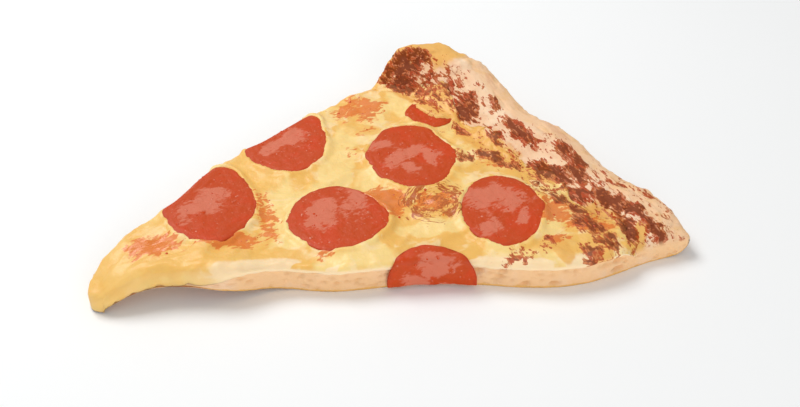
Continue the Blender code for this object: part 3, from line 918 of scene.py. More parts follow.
RIM_RISE = 1.5 * MM  # and rises this far against its rim
COVER_WAY = (0.92, 0.39)  # from the bare side of the buried slice to its covered side
COVER_AHEAD, COVER_ROUND = 0.7, 1.0  # where that cover's middle lies and how far it reaches, in half sizes
COVER_HEIGHT = 2.9 * MM  # how far the cheese stands up where it covers that slice
BURIED_FOOT = 30 * MM  # the buried slice stays this far inside the crust's outer line
SWIRL_SHARE, SWIRL_LENGTH = 0.82, 3 * MM


def to_side(x, y):
    """Distance to the nearer cut side."""
    return np.minimum(np.abs(y - front_y(x)), np.abs(back_y(x) - y))


def side_round(x, y):
    """How far the top of the cheese is rounded down towards the nearer cut side, more where it hangs over."""
    hung = draped(x, y - front_y(x) < back_y(x) - y)
    way = np.clip(to_side(x, y) / mix(SIDE_REACH, DRAPE_REACH, hung), 0, 1)
    return mix(SIDE_DROP, DRAPE_DROP, hung) * (1 - np.sqrt(1 - (1 - way) ** 2))


def cheese_points(settings):
    """Vertices, quads, where the cut sides are and the level from bottom to top, at each vertex."""
    counts = (LIP_CELLS + CHEESE_CELLS + LAP_CELLS, CHEESE_ACROSS, CHEESE_LEVELS)
    (i, j, k), quads = block_skin(counts)
    v = crowded(CHEESE_ACROSS)[j]
    level = k / CHEESE_LEVELS
    way = np.clip((i - LIP_CELLS) / CHEESE_CELLS, 0, 1)
    bread = bread_point(way, v)
    lap = CHEESE_LAP + CHEESE_LAP_UNEVEN * np.sin(CHEESE_LAP_TURNS * math.tau * v)
    ends = np.stack((v * LAP_SPREAD, 0 * v, 0 * v), axis=1)
    lap = lap + 1.2 * MM * noise(ends, 7 * MM, 60) + 0.5 * MM * noise(ends, 2.5 * MM, 61)
    rim = rim_point(lap * np.clip((i - LIP_CELLS - CHEESE_CELLS) / LAP_CELLS, 0, 1), v)
    on_bread = i <= LIP_CELLS + CHEESE_CELLS
    x, y = (np.where(on_bread, b, r) for b, r in zip(bread, rim))
    top = cheese_top(x, y)
    # the lip rounds down over the nose
    lip = 1 - np.clip(i / LIP_CELLS, 0, 1)
    x = x - LIP_REACH * np.sin(lip * math.pi / 2)
    y = mix(y, mix(TIP_FRONT_Y, TIP_BACK_Y, mix(0.5, v, 0.85)), lip)
    top = mix(top, LIP_HIGH, 1 - np.cos(lip * math.pi / 2))
    # the rounded cut sides, which hang over the dough a little, and near the tip all the way down
    edge = (j == 0) | (j == CHEESE_ACROSS)
    front = j < CHEESE_ACROSS / 2
    hung = draped(x, front)
    top = top - side_round(x, y)
    line = np.stack((x, np.where(front, 0, 0.1), 0 * x), axis=1)
    sagging = 0.5 + 0.9 * noise(line, 9 * MM, 62) + 0.4 * noise(line, 3.5 * MM, 63)
    hang = settings.sag * np.clip(sagging, 0.05, 2)
    bottom = dough_top(np.maximum(x, TIP_X + 2 * MM), y) - np.where(edge, hang, BEDDED)
    drips = np.clip(noise(line, 5 * MM, 64) + 0.4 * noise(line, 2 * MM, 67), 0, 1)
    floor = underside(x) + DRAPE_CLEAR + DRAPE_RAGGED * drips
    bottom = np.where(edge, mix(bottom, floor, hung), bottom)
    bottom = mix(bottom, LIP_LOW, lip)
    thinning = smooth(i, counts[0] - THINNED_CELLS, counts[0])
    top = mix(top, dough_top(x, y) + END_THICKNESS, thinning)
    z = mix(bottom, top, level)
    bulge = SIDE_BULGE * np.sin(math.pi * np.clip(level, 0.02, 0.98)) ** 0.6
    bulge = bulge + 0.25 * MM * noise(line, 5 * MM, 65)
    y = y + edge * np.where(front, -1, 1) * bulge * (1 - lip)
    return np.stack((x, y, z), axis=1), quads, edge.astype(float), level


def slice_bed(points, relief):
    """Presses the cheese flat under each slice of pepperoni and raises it round the rim."""
    x, y = points[:, 0], points[:, 1]
    for number in WHOLE_SLICES:
        gap = slice_edge(x, y, number)
        inside = 1 - smooth(gap, -2.4 * MM, -0.7 * MM)
        reach_out = 1.7 * MM * (1 + 0.5 * noise(points, 6 * MM, 74))
        rise = RIM_RISE * np.exp(-((np.maximum(gap, 0) / reach_out) ** 2))
        relief = mix(relief + rise, -SLICE_SINK * smooth(to_side(x, y), 0, 4 * MM), inside)
    return relief


def buried(points):
    """Share of the cheese that covers the buried slice, with a ragged edge."""
    centre, a = slice_centre(BURIED_SLICE), WHOLE_SLICES[BURIED_SLICE][1][0]
    away = [points[:, axis] - centre[axis] - COVER_AHEAD * a * COVER_WAY[axis] for axis in range(2)]
    reached = np.hypot(*away) / a + 0.08 * noise(points, 6 * MM, 71) + 0.06 * noise(points, 2 * MM, 73)
    gap = slice_edge(points[:, 0], points[:, 1], BURIED_SLICE)
    covering = 1 - smooth(reached, COVER_ROUND - 0.13, COVER_ROUND + 0.13)
    return covering * (1 - smooth(gap, 0, 6 * MM))


def cheese_relief(points, char, gold, near_crust, bubbles, settings):
    """How far the top of the cheese stands up: swells, melted lumps, folds and bubbles."""
    stretched = points * (0.75, 1.1, 1)
    relief = settings.swell * noise(points, 17 * MM, 51)
    relief += settings.lumps * (0.75 * noise(stretched, 7.5 * MM, 52) + 0.35 * noise(stretched, 3.4 * MM, 53))
    relief += 0.1 * MM * noise(points, 1.5 * MM, 54)
    folds = np.clip(1 - 3.5 * np.abs(noise(stretched, 12 * MM, 56)), 0, 1)
    relief += 0.5 * settings.lumps * folds
    relief += settings.bubbles * bubbles * (0.45 + 0.55 * near_crust)
    relief += 0.6 * MM * near_crust * np.clip(gold, 0, 1) * domes(points, 5 * MM, 58, 0.7)
    return relief + 0.45 * MM * np.clip(char, 0, 1) * noise(points, 2 * MM, 59)


def shape_cheese(mesh, settings, edge, level):
    """Raises and sinks the cheese round the sausage and keeps what its material reads."""
    points, normals = points_of(mesh), normals_of(mesh)
    x, y = points[:, 0], points[:, 1]
    top = smooth(level, 0.5, 1) * smooth(normals[:, 2], 0.1, 0.7)
    near_crust = 1 - smooth(crust_x(y) - x, 34 * MM, 52 * MM)
    bubble_ring = burst_bubble(points)
    char = np.maximum(scorching(points), cheese_marks(points, SPOT_MARKS, 12))
    gold = crust_marks(points, GOLD_MARKS, 2)
    grease = cheese_marks(points, GREASE_MARKS, 13)
    bubbles = domes(points, 8 * MM, 55, 0.3) + 0.5 * domes(points, 4.5 * MM, 57, 0.25)
    relief = cheese_relief(points, char, gold, near_crust, bubbles, settings)
    relief = slice_bed(points, relief + 0.6 * MM * bubble_ring)
    cover = buried(points)
    hung = draped(x, y < 0)
    side = 0.2 * MM * noise(points * (1, 1, 0.5), 4 * MM, 66)
    side += 0.7 * MM * hung * noise(points * (1, 1, 0.35), 6 * MM, 68)
    shift = top * relief * (1 - cover) + (1 - top) * edge * side
    moved = points + normals * shift[:, None]
    moved[:, 2] += top * cover * (COVER_HEIGHT + 0.3 * MM * noise(points, 4 * MM, 72))
    move_points(mesh, moved)
    bare = np.ones(len(x))
    for number in WHOLE_SLICES:
        bare = bare * smooth(slice_edge(x, y, number), 0, 2 * MM)
    tip = 1 - smooth(x, TIP_X + 8 * MM, TIP_X + 55 * MM)
    # painted highlight: paler patches along the front top edge of the cheese, where the light catches its rounded
    # edge
    cream = (1 - smooth(y - front_y(x), 0.5 * MM, 7 * MM)) * smooth(x, -74 * MM, -56 * MM)
    uneven = noise(points * (0.5, 0.8, 1), 11 * MM, 75) + 0.4 * noise(points, 4 * MM, 76)
    cream = cream * smooth(uneven, -0.3, 0.3)
    deep, light = cheese_marks(points, DEEP_MARKS, 14), cheese_marks(points, LIGHT_MARKS, 15)
    keep(mesh, char=char, gold=np.maximum(gold, cover), grease=grease, tip=tip, cream=cream, deep=deep,
         light=light, bubble=bubbles * top * near_crust, swirl=SWIRL_SHARE * bubble_ring * top,
         side=edge * (1 - top) * (1 - 0.85 * hung), crumbs=near_crust * np.clip(char, 0, 1) ** 3 * bare * top,
         beads=np.clip(grease, 0, 1) * bare * top)


def swirled(tree, place):
    """Thin streaks from 0 to 1 that run round the burst bubble."""
    away = vector_maths(tree, "SUBTRACT", place, (*BUBBLE_PLACE, 0))
    flat = vector_maths(tree, "MULTIPLY", away, (1, 1, 0))
    round_it = vector_maths(tree, "MULTIPLY", vector_maths(tree, "NORMALIZE", flat), (SWIRL_LENGTH,) * 3)
    outwards = node(tree, "ShaderNodeCombineXYZ", {"Z": vector_length(tree, flat)}).outputs[0]
    streaks = grain(tree, vector_maths(tree, "ADD", round_it, outwards), MM, 3, 0.6, 1.0)
    return step(tree, streaks, 0.3, 0.7)


def cheese_material(settings):
    made, tree, shader, place = new_material("Melted cheese", 0.4, 0.22, 2 * MM, 0.35)
    broad = grain(tree, place, 22 * MM, 2, 0.5, 0.8)
    middle = grain(tree, place, 8 * MM, 3, 0.55, 0.5)
    fine = grain(tree, place, 1.7 * MM, 4, 0.65)
    char, gold, grease = (attribute(tree, name) for name in ("char", "gold", "grease"))
    surface = blend(tree, step(tree, broad, 0.42, 0.58), settings.melted, settings.deep)
    surface = coat(tree, surface, settings.light, step(tree, middle, 0.5, 0.64), 0.8)
    for zone, over in (("deep", settings.deep), ("light", settings.melted)):
        surface = coat(tree, surface, over, ragged(tree, attribute(tree, zone), middle, 0.6, 0.25, 0.6), 0.85)
    # painted highlight: the paler patches along the front top edge take the cut side's colour
    cream = maths(tree, "MULTIPLY", ragged(tree, attribute(tree, "cream"), middle, 0.8, 0.28, 0.66), 0.85)
    surface = blend(tree, maths(tree, "MAXIMUM", cream, attribute(tree, "side")), surface, settings.edge)
    surface = coat(tree, surface, settings.tip, attribute(tree, "tip"), 0.7)
    surface = coat(tree, surface, settings.gold, ragged(tree, gold, middle, 0.7, 0.25, 0.6), 0.85)
    browned_tops = ragged(tree, attribute(tree, "bubble"), fine, 0.6, 0.4, 0.8)
    surface = coat(tree, surface, settings.gold, browned_tops, 0.7)
    _, oily = covered(tree, grease, flecks(tree, place, 1.4 * MM, (0.5, 1.1, 1)), 0.12)
    oily = maths(tree, "MULTIPLY", oily, 0.85)
    surface = blend(tree, oily, surface, settings.grease)
    _, swirl = covered(tree, attribute(tree, "swirl"), swirled(tree, place), 0.1)
    surface = blend(tree, swirl, surface, settings.brown)
    over, browned = covered(tree, char, flecks(tree, place, FLECK_WIDTH, (0.9, 0.4, 1)))
    surface = coat(tree, surface, toasted(tree, place, settings, over), browned, 0.92)
    roughness = maths(tree, "MULTIPLY_ADD", middle, 0.25, 0.26)
    roughness = maths(tree, "MULTIPLY_ADD", browned, 0.25, roughness)
    roughness = maths(tree, "MULTIPLY_ADD", oily, -0.12, roughness)
    height = maths(tree, "MULTIPLY_ADD", fine, 0.35, middle)
    connect(tree, shader, surface, roughness, height, 0.5 * MM)
    return made


class PIZZA_OT_cheese(bpy.types.Operator):
    """Melts the cheese over the dough, round the sausage and down over the tip"""

    bl_idname = "pizza.cheese"
    bl_label = "Cheese"

    def execute(self, context):
        settings = context.scene.pizza_cheese
        points, quads, edge, level = cheese_points(settings)
        piece = mesh_object("melted_cheese", points, quads, cheese_material(settings))
        shape_cheese(piece.data, settings, edge, level)
        finish_piece(piece, "cheese", "cheese")
        return {"FINISHED"}


# ---------------------------------------------------------------- Pepperoni


def geometry_tree(name, inputs):
    """A Geometry Nodes tree with the named inputs, given as (name, socket type, default)."""
    tree = bpy.data.node_groups.new(name, "GeometryNodeTree")
    tree.interface.new_socket("Geometry", in_out="INPUT", socket_type="NodeSocketGeometry")
    for label, kind, default in inputs:
        socket = tree.interface.new_socket(label, in_out="INPUT", socket_type=kind)
        if default is not None:
            socket.default_value = default
    tree.interface.new_socket("Geometry", in_out="OUTPUT", socket_type="NodeSocketGeometry")
    return tree, tree.nodes.new("NodeGroupInput"), tree.nodes.new("NodeGroupOutput")


def end_tree(tree, geometry, material, result):
    """Makes what the tree has built plain mesh of the given material, and hands it on."""
    real = node(tree, "GeometryNodeRealizeInstances", {"Geometry": geometry})
    done = node(tree, "GeometryNodeSetMaterial", {"Geometry": real.outputs[0], "Material": material})
    tree.links.new(done.outputs[0], result.inputs[0])


def grown(name, tree, host, values):
    """The plain mesh that a tree makes from host with the given input values."""
    grower = bpy.data.objects.new(name, host)
    bpy.context.scene.collection.objects.link(grower)
    modifier = grower.modifiers.new("Nodes", "NODES")
    modifier.node_group = tree
    sockets = {s.name: s.identifier for s in tree.interface.items_tree if s.in_out == "INPUT"}
    for label, value in values.items():
        modifier[sockets[label]] = value
    made = bpy.data.meshes.new_from_object(grower.evaluated_get(bpy.context.evaluated_depsgraph_get()))
    grower.modifiers.remove(modifier)
    bpy.data.objects.remove(grower)
    made.name = name
    return made


def slice_tree():
    """A flat round slice of radius 1: a ball pressed thin, with a curled rim and a grainy top."""
    tree, given, result = geometry_tree("Sausage slice", (
        ("Segments", "NodeSocketInt", 112), ("Rings", "NodeSocketInt", 72),
        ("Thickness", "NodeSocketFloat", 2 * MM), ("Curl", "NodeSocketFloat", 0.8 * MM),
        ("Grain", "NodeSocketFloat", 0.2 * MM),
        ("Seed", "NodeSocketFloat", 0.0), ("Material", "NodeSocketMaterial", None)))
    sockets = given.outputs
    ball = node(tree, "GeometryNodeMeshUVSphere",
                {"Segments": sockets["Segments"], "Rings": sockets["Rings"], "Radius": 1.0})
    place = node(tree, "GeometryNodeInputPosition").outputs[0]
    split = node(tree, "ShaderNodeSeparateXYZ", {0: place})
    out = vector_length(tree, vector_maths(tree, "MULTIPLY", place, (1, 1, 0)))
    edge = maths(tree, "SUBTRACT", 1.0, maths(tree, "POWER", out, 6.0))
    edge = maths(tree, "SQRT", maths(tree, "MAXIMUM", edge, 0.0))
    side = maths(tree, "MULTIPLY", maths(tree, "SIGN", split.outputs["Z"]), edge)
    body = maths(tree, "MULTIPLY", maths(tree, "MULTIPLY_ADD", side, 0.5, 0.5), sockets["Thickness"])
    curl = maths(tree, "MULTIPLY", maths(tree, "POWER", out, 4.0), sockets["Curl"])
    inputs = {"Vector": place, "W": sockets["Seed"], "Scale": 5.0, "Detail": 4.0, "Roughness": 0.62}
    bumps = node(tree, "ShaderNodeTexNoise", inputs, noise_dimensions="4D").outputs["Fac"]
    grain_height = maths(tree, "MULTIPLY", sockets["Grain"], 4.0)
    bumps = maths(tree, "MULTIPLY", maths(tree, "ADD", bumps, -0.5), grain_height)
    bumps = maths(tree, "MULTIPLY", bumps, edge)
    height = maths(tree, "ADD", maths(tree, "ADD", body, curl), bumps)
    moved = node(tree, "ShaderNodeCombineXYZ",
                 {"X": split.outputs["X"], "Y": split.outputs["Y"], "Z": height}).outputs[0]
    inputs = {"Geometry": ball.outputs["Mesh"], "Name": "out", "Value": out}
    kept = node(tree, "GeometryNodeStoreNamedAttribute", inputs, data_type="FLOAT", domain="POINT")
    laid = node(tree, "GeometryNodeSetPosition", {"Geometry": kept.outputs[0], "Position": moved})
    end_tree(tree, laid.outputs[0], sockets["Material"], result)
    return tree


def reach(centre, directions, radii, foot):
    """How far each way goes before the slice's own rim, a cut side or the crust's foot ends it."""
    clear, pace = 0.1 * MM, 0.1 * MM
    gone = np.zeros(len(radii))
    for _ in range(int(radii.max() / pace) + 1):
        ahead = np.array(centre) + directions * (gone + pace)[:, None]
        free = (ahead[:, 1] > front_y(ahead[:, 0]) + clear) & (ahead[:, 1] < back_y(ahead[:, 0]) - clear)
        free &= crust_x(ahead[:, 1]) - ahead[:, 0] > foot
        gone = np.where(free & (gone < radii), gone + pace, gone)
    return np.minimum(gone, radii)


def painted_sheen_patches(number, along, across):
    """Where a slice is painted pale as a painted sheen, standing in for the gloss of the light, at places given as
    shares of its half sizes.
    """
    marks = [(*mark, 1.0) for mark in PAINTED_SHEEN_MARKS[number]]
    places = np.stack((along, across, 0 * along), axis=1)
    return marked(along * MM, across * MM, marks, wandering(places, 0.2 * MM, 0.5, 90 + number))


def lay_slice(mesh, number, settings):
    """Spreads the round slice to its oval and lays it on the cheese, inside the cut sides."""
    _, (a, b), turn = WHOLE_SLICES[number]
    centre = slice_centre(number)
    points = points_of(mesh)
    out = np.minimum(np.hypot(points[:, 0], points[:, 1]), 1)
    angle = np.arctan2(points[:, 1], points[:, 0])
    directions = np.stack((np.cos(angle), np.sin(angle)), axis=1)
    radii = slice_radius(angle - math.radians(turn), a, b, number)
    within = reach(centre, directions, radii, BURIED_FOOT if number == BURIED_SLICE else 0)
    spread = out * within
    x, y = (c + d * spread for c, d in zip(centre, directions.T))
    true_out = spread / radii
    curl_back = settings.curl * (true_out**4 - out**4)
    bed = cheese_top(x, y) - side_round(x, y) + SLICE_LIFT - SLICE_SUNK
    points = np.stack((x, y, bed + points[:, 2] + curl_back), axis=1)
    move_points(mesh, points)
    turned = angle - math.radians(turn)
    along, across = spread * np.cos(turned) / a, spread * np.sin(turned) / b
    facing_up = smooth(normals_of(mesh)[:, 2], 0.2, 0.8)
    if number == BURIED_SLICE:
        ahead = ((x - centre[0]) * COVER_WAY[0] + (y - centre[1]) * COVER_WAY[1]) / a
        true_out = smooth(ahead, -0.8, -0.1)
    # pale is where the painted sheen lies on the slice
    keep(mesh, rim=true_out, pale=painted_sheen_patches(number, along, across), top=facing_up,
         beads=facing_up * (1 - smooth(true_out, 0.8, 0.95)))


def folded_points(settings):
    """The slice that lies partly on the cheese and folds down over the front cut side."""
    along_cells, top_cells, bend_cells, flap_cells, thick_cells = 64, 34, 10, 30, 6
    counts = (along_cells, top_cells + bend_cells + flap_cells, thick_cells)
    (i, j, k), quads = block_skin(counts)
    slope = math.atan2(CORNER_FRONT[1] - TIP_FRONT_Y, CORNER_FRONT[0] - TIP_X)
    c, s = math.cos(slope), math.sin(slope)
    bend = FOLD_RADIUS * math.pi / 2
    edge_z = cheese_top(np.array([FOLDED_X]), front_y(np.array([FOLDED_X])))[0]
    flap = edge_z + SLICE_LIFT - FOLD_RADIUS - FOLDED_REST
    far_end = FOLDED_CENTRE - FOLDED_RADIUS * FOLDED_SPAN
    t = np.where(j <= top_cells, far_end * np.cos(math.pi / 2 * j / top_cells),
                 np.where(j <= top_cells + bend_cells, bend * (j - top_cells) / bend_cells,
                          bend + flap * (j - top_cells - bend_cells) / flap_cells))
    half_chord = np.sqrt(FOLDED_RADIUS**2 - (t - FOLDED_CENTRE) ** 2)
    way = 2 * i / along_cells - 1
    edge_x = FOLDED_X + c * half_chord * np.sin(way * math.pi / 2)
    disc = np.hypot(half_chord * np.sin(way * math.pi / 2), t - FOLDED_CENTRE) / FOLDED_RADIUS
    rounding = np.sqrt(np.clip(1 - disc**10, 0, 1))
    thick = settings.thickness * FOLDED_THIN * (0.5 + (k / thick_cells - 0.5) * mix(0.35, 1, rounding))
    inside = FOLD_INSET - np.minimum(t, 0)
    fold = np.clip(t / FOLD_RADIUS, 0, math.pi / 2)
    over = t > 0
    inside = inside - np.where(over, (FOLD_RADIUS + thick) * np.sin(fold), 0)
    hung = FOLD_RADIUS - (FOLD_RADIUS + thick) * np.cos(fold) + np.maximum(t - bend, 0)
    drop = np.where(over, hung, -thick)
    kept = np.maximum(inside, FOLD_INSET)
    bed = cheese_top(edge_x - s * kept, front_y(edge_x) + c * kept) + SLICE_LIFT - FOLDED_SUNK
    points = np.stack((edge_x - s * inside, front_y(edge_x) + c * inside, bed - drop), axis=1)
    shares = half_chord * np.sin(way * math.pi / 2) / FOLDED_RADIUS, (FOLDED_CENTRE - t) / FOLDED_RADIUS
    return points, quads, disc, shares, k / thick_cells


def fold_slice(mesh, settings, disc, shares, level):
    """Gives the folded slice its grain and keeps what its material reads."""
    points, normals = points_of(mesh), normals_of(mesh)
    relief = settings.grain * (noise(points, 6 * MM, 81) + 0.6 * noise(points, 2.5 * MM, 82))
    relief += 0.5 * settings.curl * disc**6 * (level > 0.5)
    move_points(mesh, points + normals * (relief * smooth(level, 0.4, 1))[:, None])
    # pale is where the painted sheen lies on the slice
    keep(mesh, rim=disc, pale=painted_sheen_patches(FOLDED_SLICE, *shares), top=level, beads=level * (disc < 0.85),
         out=disc)


def pepperoni_material(settings):
    made, tree, shader, place = new_material("Baked pepperoni", 0.36, 0.12, 1.2 * MM, 0.27)
    broad = grain(tree, place, 12 * MM, 3, 0.6, 0.5)
    middle = grain(tree, place, 3.4 * MM, 4, 0.65, 0.8)
    fine = grain(tree, place, 0.9 * MM, 4, 0.7)
    fat = node(tree, "ShaderNodeTexVoronoi", {"Vector": place, "Scale": 1 / (2.6 * MM)}).outputs["Distance"]
    surface = blend(tree, step(tree, broad, 0.45, 0.65), settings.meat, settings.bright)
    fat_spots = step(tree, maths(tree, "MULTIPLY_ADD", middle, 0.35, fat), 0.36, 0.26)
    surface = coat(tree, surface, settings.pale, fat_spots, 0.55)
    # painted sheen: the broad pale patches stand in for the gloss of the light on the meat
    _, painted_sheen = covered(tree, attribute(tree, "pale"), flecks(tree, place, 1.2 * MM, (0.4, 1.0, 1)), 0.25)
    pale = maths(tree, "MULTIPLY", painted_sheen, 0.8)
    surface = blend(tree, pale, surface, settings.pale)
    crisp = ragged(tree, attribute(tree, "rim"), middle, 0.22, 0.9, 1.02)
    surface = coat(tree, surface, settings.rim, crisp, 0.8)
    roughness = maths(tree, "MULTIPLY_ADD", middle, 0.3, 0.3)
    roughness = maths(tree, "MULTIPLY_ADD", pale, 0.2, roughness)
    height = maths(tree, "MULTIPLY_ADD", fine, 0.5, middle)
    connect(tree, shader, surface, roughness, height, 0.3 * MM)
    return made


class PIZZA_OT_pepperoni(bpy.types.Operator):
    """Lays the slices of pepperoni on the cheese, one of them folded over the front side"""

    bl_idname = "pizza.pepperoni"
    bl_label = "Pepperoni"

    def execute(self, context):
        settings = context.scene.pizza_pepperoni
        material = pepperoni_material(settings)
        tree = slice_tree()
        for number in WHOLE_SLICES:
            values = {"Segments": settings.segments, "Rings": settings.rings, "Thickness": settings.thickness,
                      "Curl": settings.curl, "Grain": settings.grain, "Seed": float(settings.seed + number),
                      "Material": material}
            mesh = grown(f"pepperoni_slice_{number}", tree, bpy.data.meshes.new("bare"), values)
            piece = bpy.data.objects.new(mesh.name, mesh)
            context.scene.collection.objects.link(piece)
            lay_slice(mesh, number, settings)
            finish_piece(piece, "pepperoni", f"pepperoni_{number}")
        points, quads, *facts = folded_points(settings)
        piece = mesh_object(f"pepperoni_slice_{FOLDED_SLICE}", points, quads, material)
        fold_slice(piece.data, settings, *facts)
        finish_piece(piece, "pepperoni", f"pepperoni_{FOLDED_SLICE}")
        return {"FINISHED"}


# ---------------------------------------------------------------- Crumbs and oil

SMALLEST_BIT = 0.25  # the size of the smallest crumb or bead, as a share of the largest


def scatter_tree():
    """Strews small uneven lumps over a mesh, more of them where the named attribute is high."""
    tree, given, result = geometry_tree("Strewn bits", (
        ("Where", "NodeSocketString", "crumbs"), ("Density", "NodeSocketFloat", 10000.0),
        ("Smallest", "NodeSocketFloat", 0.3 * MM), ("Largest", "NodeSocketFloat", 0.8 * MM),
        ("Flatness", "NodeSocketFloat", 0.6), ("Roughness", "NodeSocketFloat", 0.4),
        ("Seed", "NodeSocketInt", 1), ("Material", "NodeSocketMaterial", None)))
    sockets = given.outputs
    where = node(tree, "GeometryNodeInputNamedAttribute", {"Name": sockets["Where"]}, data_type="FLOAT")
    density = maths(tree, "MULTIPLY", where.outputs[0], sockets["Density"])
    strewn = node(tree, "GeometryNodeDistributePointsOnFaces",
                  {"Mesh": sockets["Geometry"], "Density": density, "Seed": sockets["Seed"]})
    ball = node(tree, "GeometryNodeMeshIcoSphere", {"Radius": 1.0, "Subdivisions": 2})
    place = node(tree, "GeometryNodeInputPosition").outputs[0]
    bumps = node(tree, "ShaderNodeTexNoise", {"Vector": place, "Scale": 1.1, "Detail": 1.0}).outputs["Color"]
    bumps = vector_maths(tree, "SCALE", vector_maths(tree, "SUBTRACT", bumps, (0.5, 0.5, 0.5)))
    tree.links.new(sockets["Roughness"], bumps.node.inputs["Scale"])
    lump_shape = node(tree, "GeometryNodeSetPosition", {"Geometry": ball.outputs["Mesh"], "Offset": bumps})
    size = node(tree, "FunctionNodeRandomValue", {2: sockets["Smallest"], 3: sockets["Largest"],
                                                  "Seed": sockets["Seed"]}, data_type="FLOAT").outputs[1]
    squash = node(tree, "ShaderNodeCombineXYZ", {"X": 1.0, "Y": 1.0, "Z": sockets["Flatness"]}).outputs[0]
    scaled = vector_maths(tree, "SCALE", squash)
    tree.links.new(size, scaled.node.inputs["Scale"])
    spin = node(tree, "FunctionNodeRandomValue", {2: 0.0, 3: math.tau}, data_type="FLOAT").outputs[1]
    about = node(tree, "ShaderNodeCombineXYZ", {"Z": spin}).outputs[0]
    turned = node(tree, "FunctionNodeRotateRotation",
                  {"Rotation": strewn.outputs["Rotation"], "Rotate By": about}, rotation_space="LOCAL")
    placed = node(tree, "GeometryNodeInstanceOnPoints",
                  {"Points": strewn.outputs["Points"], "Instance": lump_shape.outputs[0],
                   "Rotation": turned.outputs[0], "Scale": scaled})
    end_tree(tree, placed.outputs[0], sockets["Material"], result)
    return tree


def strewing(where, density, largest, flatness, roughness, seed, material):
    """Values for the inputs of the tree above."""
    return {"Where": where, "Density": float(density), "Smallest": SMALLEST_BIT * largest, "Largest": largest,
            "Flatness": flatness, "Roughness": roughness, "Seed": seed, "Material": material}


def strew(name, tree, hosts, values, slot):
    """One piece of all the bits that the tree strews over the hosts."""
    meshes = [grown(f"{name}_{host}", tree, bpy.data.objects[host].data, values) for host in hosts]
    points = [points_of(mesh) for mesh in meshes]
    faces, offset = [], 0
    for mesh, places in zip(meshes, points):
        corners = np.empty(len(mesh.loops), np.int64)
        mesh.loops.foreach_get("vertex_index", corners)
        faces.append(corners.reshape(-1, 3) + offset)
        offset += len(places)
    piece = mesh_object(name, np.concatenate(points), np.concatenate(faces), values["Material"])
    move_points(piece.data, np.concatenate(points))
    for mesh in meshes:
        bpy.data.meshes.remove(mesh)
    finish_piece(piece, slot)
    return piece


def crumb_material(settings):
    made, tree, shader, place = new_material("Toasted crumbs", 0.6, 0.0, MM)
    tone = grain(tree, place, 3 * MM, 2)
    surface = blend(tree, step(tree, tone, 0.4, 0.62), settings.char, settings.brown)
    fine = grain(tree, place, 0.5 * MM, 3)
    connect(tree, shader, surface, maths(tree, "MULTIPLY_ADD", fine, 0.3, 0.45), fine, 0.15 * MM)
    return made


def oil_material(settings):
    made, tree, shader, place = new_material("Beads of oil", 0.08, 0.0, MM)
    tone = grain(tree, place, 5 * MM, 2)
    surface = blend(tree, step(tree, tone, 0.4, 0.65), settings.bright, settings.pale)
    fine = grain(tree, place, 2 * MM, 1)
    connect(tree, shader, surface, maths(tree, "MULTIPLY_ADD", fine, 0.08, 0.05), fine, 0.02 * MM)
    return made


class PIZZA_OT_crumbs(bpy.types.Operator):
    """Strews toasted crumbs over the browned crust and cheese"""

    bl_idname = "pizza.crumbs"
    bl_label = "Crumbs"

    def execute(self, context):
        settings = context.scene.pizza_scatter
        material = crumb_material(context.scene.pizza_dough)
        values = strewing("crumbs", settings.crumbs, settings.crumb_size, 0.6, 0.6, settings.seed, material)
        strew("toasted_crumbs", scatter_tree(), ("baked_dough", "melted_cheese"), values, "dough")
        return {"FINISHED"}


class PIZZA_OT_oil(bpy.types.Operator):
    """Beads of oil on the sausage and where it has run"""

    bl_idname = "pizza.oil"
    bl_label = "Oil"

    def execute(self, context):
        settings = context.scene.pizza_scatter
        material = oil_material(context.scene.pizza_pepperoni)
        values = strewing("beads", settings.beads, settings.bead_size, 0.45, 0.1, settings.seed + 1, material)
        numbers = (*WHOLE_SLICES, FOLDED_SLICE)
        hosts = [f"pepperoni_slice_{number}" for number in numbers if number != BURIED_SLICE]
        strew("oil_beads", scatter_tree(), (*hosts, "melted_cheese"), values, "pepperoni")
        return {"FINISHED"}


# ---------------------------------------------------------------- Stage

FLOOR_SIZE, FLOOR_COLOUR = 6.0, (0.95, 0.96, 0.96, 1)
KEY_PLACE, KEY_SIZE = (-0.2, 0.6, 0.92), 0.6
FILL_PLACE, FILL_SIZE = (-0.25, -1.2, 0.35), 1.0
CAMERA_AIM = (22.7 * MM, 4 * MM)  # from the middle of the slice


def area_light(name, place, size, power):
    light = bpy.data.lights.new(name, "AREA")
    light.shape = "DISK"
    light.size = size
    light.energy = power
    made = bpy.data.objects.new(name, light)
    made.location = place
    made.rotation_euler = (-Vector(place)).to_track_quat("-Z", "Y").to_euler()
    bpy.context.scene.collection.objects.link(made)


def make_camera(settings):
    low, high = CAD_BOX
    aim = Vector(((low.x + high.x) / 2 + CAMERA_AIM[0], (low.y + high.y) / 2 + CAMERA_AIM[1], 0))
    across, up = math.cos(settings.elevation), math.sin(settings.elevation)
    back = Vector((math.sin(settings.azimuth) * across, -math.cos(settings.azimuth) * across, up))
    data = bpy.data.cameras.new("camera")
    data.lens = settings.lens
    made = bpy.data.objects.new("camera", data)
    made.location = aim + back * settings.distance
    made.rotation_euler = (-back).to_track_quat("-Z", "Y").to_euler()
    bpy.context.scene.collection.objects.link(made)
    bpy.context.scene.camera = made


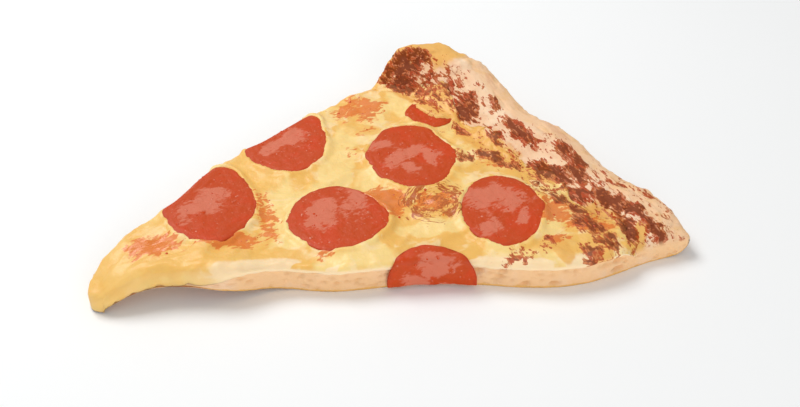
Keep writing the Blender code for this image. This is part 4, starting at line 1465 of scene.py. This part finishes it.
class PIZZA_OT_stage(bpy.types.Operator):
    """The pale table, the soft lights and the camera"""

    bl_idname = "pizza.stage"
    bl_label = "Stage"

    def execute(self, context):
        settings = context.scene.pizza_stage
        half = FLOOR_SIZE / 2
        corners = np.array([(-half, -half, 0), (half, -half, 0), (half, half, 0), (-half, half, 0)])
        paint = bpy.data.materials.new("Pale table")
        paint.use_nodes = True
        shader = paint.node_tree.nodes["Principled BSDF"]
        shader.inputs["Base Color"].default_value = FLOOR_COLOUR
        shader.inputs["Roughness"].default_value = 0.9
        floor = mesh_object("table_top", corners, np.array([(0, 1, 2, 3)]), paint)
        world = bpy.data.worlds.new("Soft light")
        world.use_nodes = True
        world.node_tree.nodes["Background"].inputs["Color"].default_value = (1, 1, 1, 1)
        world.node_tree.nodes["Background"].inputs["Strength"].default_value = settings.sky
        context.scene.world = world
        area_light("key_light", KEY_PLACE, KEY_SIZE, settings.key)
        area_light("fill_light", FILL_PLACE, FILL_SIZE, settings.fill)
        make_camera(settings)
        context.scene.view_settings.view_transform = "Standard"
        return {"FINISHED"}


class PIZZA_PT_panel(bpy.types.Panel):
    """Lists the makers of the slice and their settings"""

    bl_idname = "PIZZA_PT_panel"
    bl_label = "Pizza slice"
    bl_space_type = "VIEW_3D"
    bl_region_type = "UI"
    bl_category = "Pizza"

    def draw(self, context):
        for operator in OPERATORS:
            self.layout.operator(operator.bl_idname)
        for name, group in SETTINGS.items():
            box = self.layout.box()
            box.label(text=name.replace("pizza_", "").capitalize())
            for label in group.__annotations__:
                box.prop(getattr(context.scene, name), label)


OPERATORS = (
    PIZZA_OT_dough, PIZZA_OT_cheese, PIZZA_OT_pepperoni, PIZZA_OT_crumbs, PIZZA_OT_oil, PIZZA_OT_stage,
)
SETTINGS = {
    "pizza_dough": PizzaDoughSettings,
    "pizza_cheese": PizzaCheeseSettings,
    "pizza_pepperoni": PizzaPepperoniSettings,
    "pizza_scatter": PizzaScatterSettings,
    "pizza_stage": PizzaStageSettings,
}


def register():
    for kind in (*SETTINGS.values(), *OPERATORS, PIZZA_PT_panel):
        bpy.utils.register_class(kind)
    for name, group in SETTINGS.items():
        setattr(bpy.types.Scene, name, PointerProperty(type=group))


def unregister():
    for name in SETTINGS:
        delattr(bpy.types.Scene, name)
    for kind in reversed((*SETTINGS.values(), *OPERATORS, PIZZA_PT_panel)):
        bpy.utils.unregister_class(kind)


def main():
    register()
    bpy.ops.pizza.dough()
    bpy.ops.pizza.cheese()
    bpy.ops.pizza.pepperoni()
    bpy.ops.pizza.crumbs()
    bpy.ops.pizza.oil()
    bpy.ops.pizza.stage()


if __name__ == "__main__":
    main()
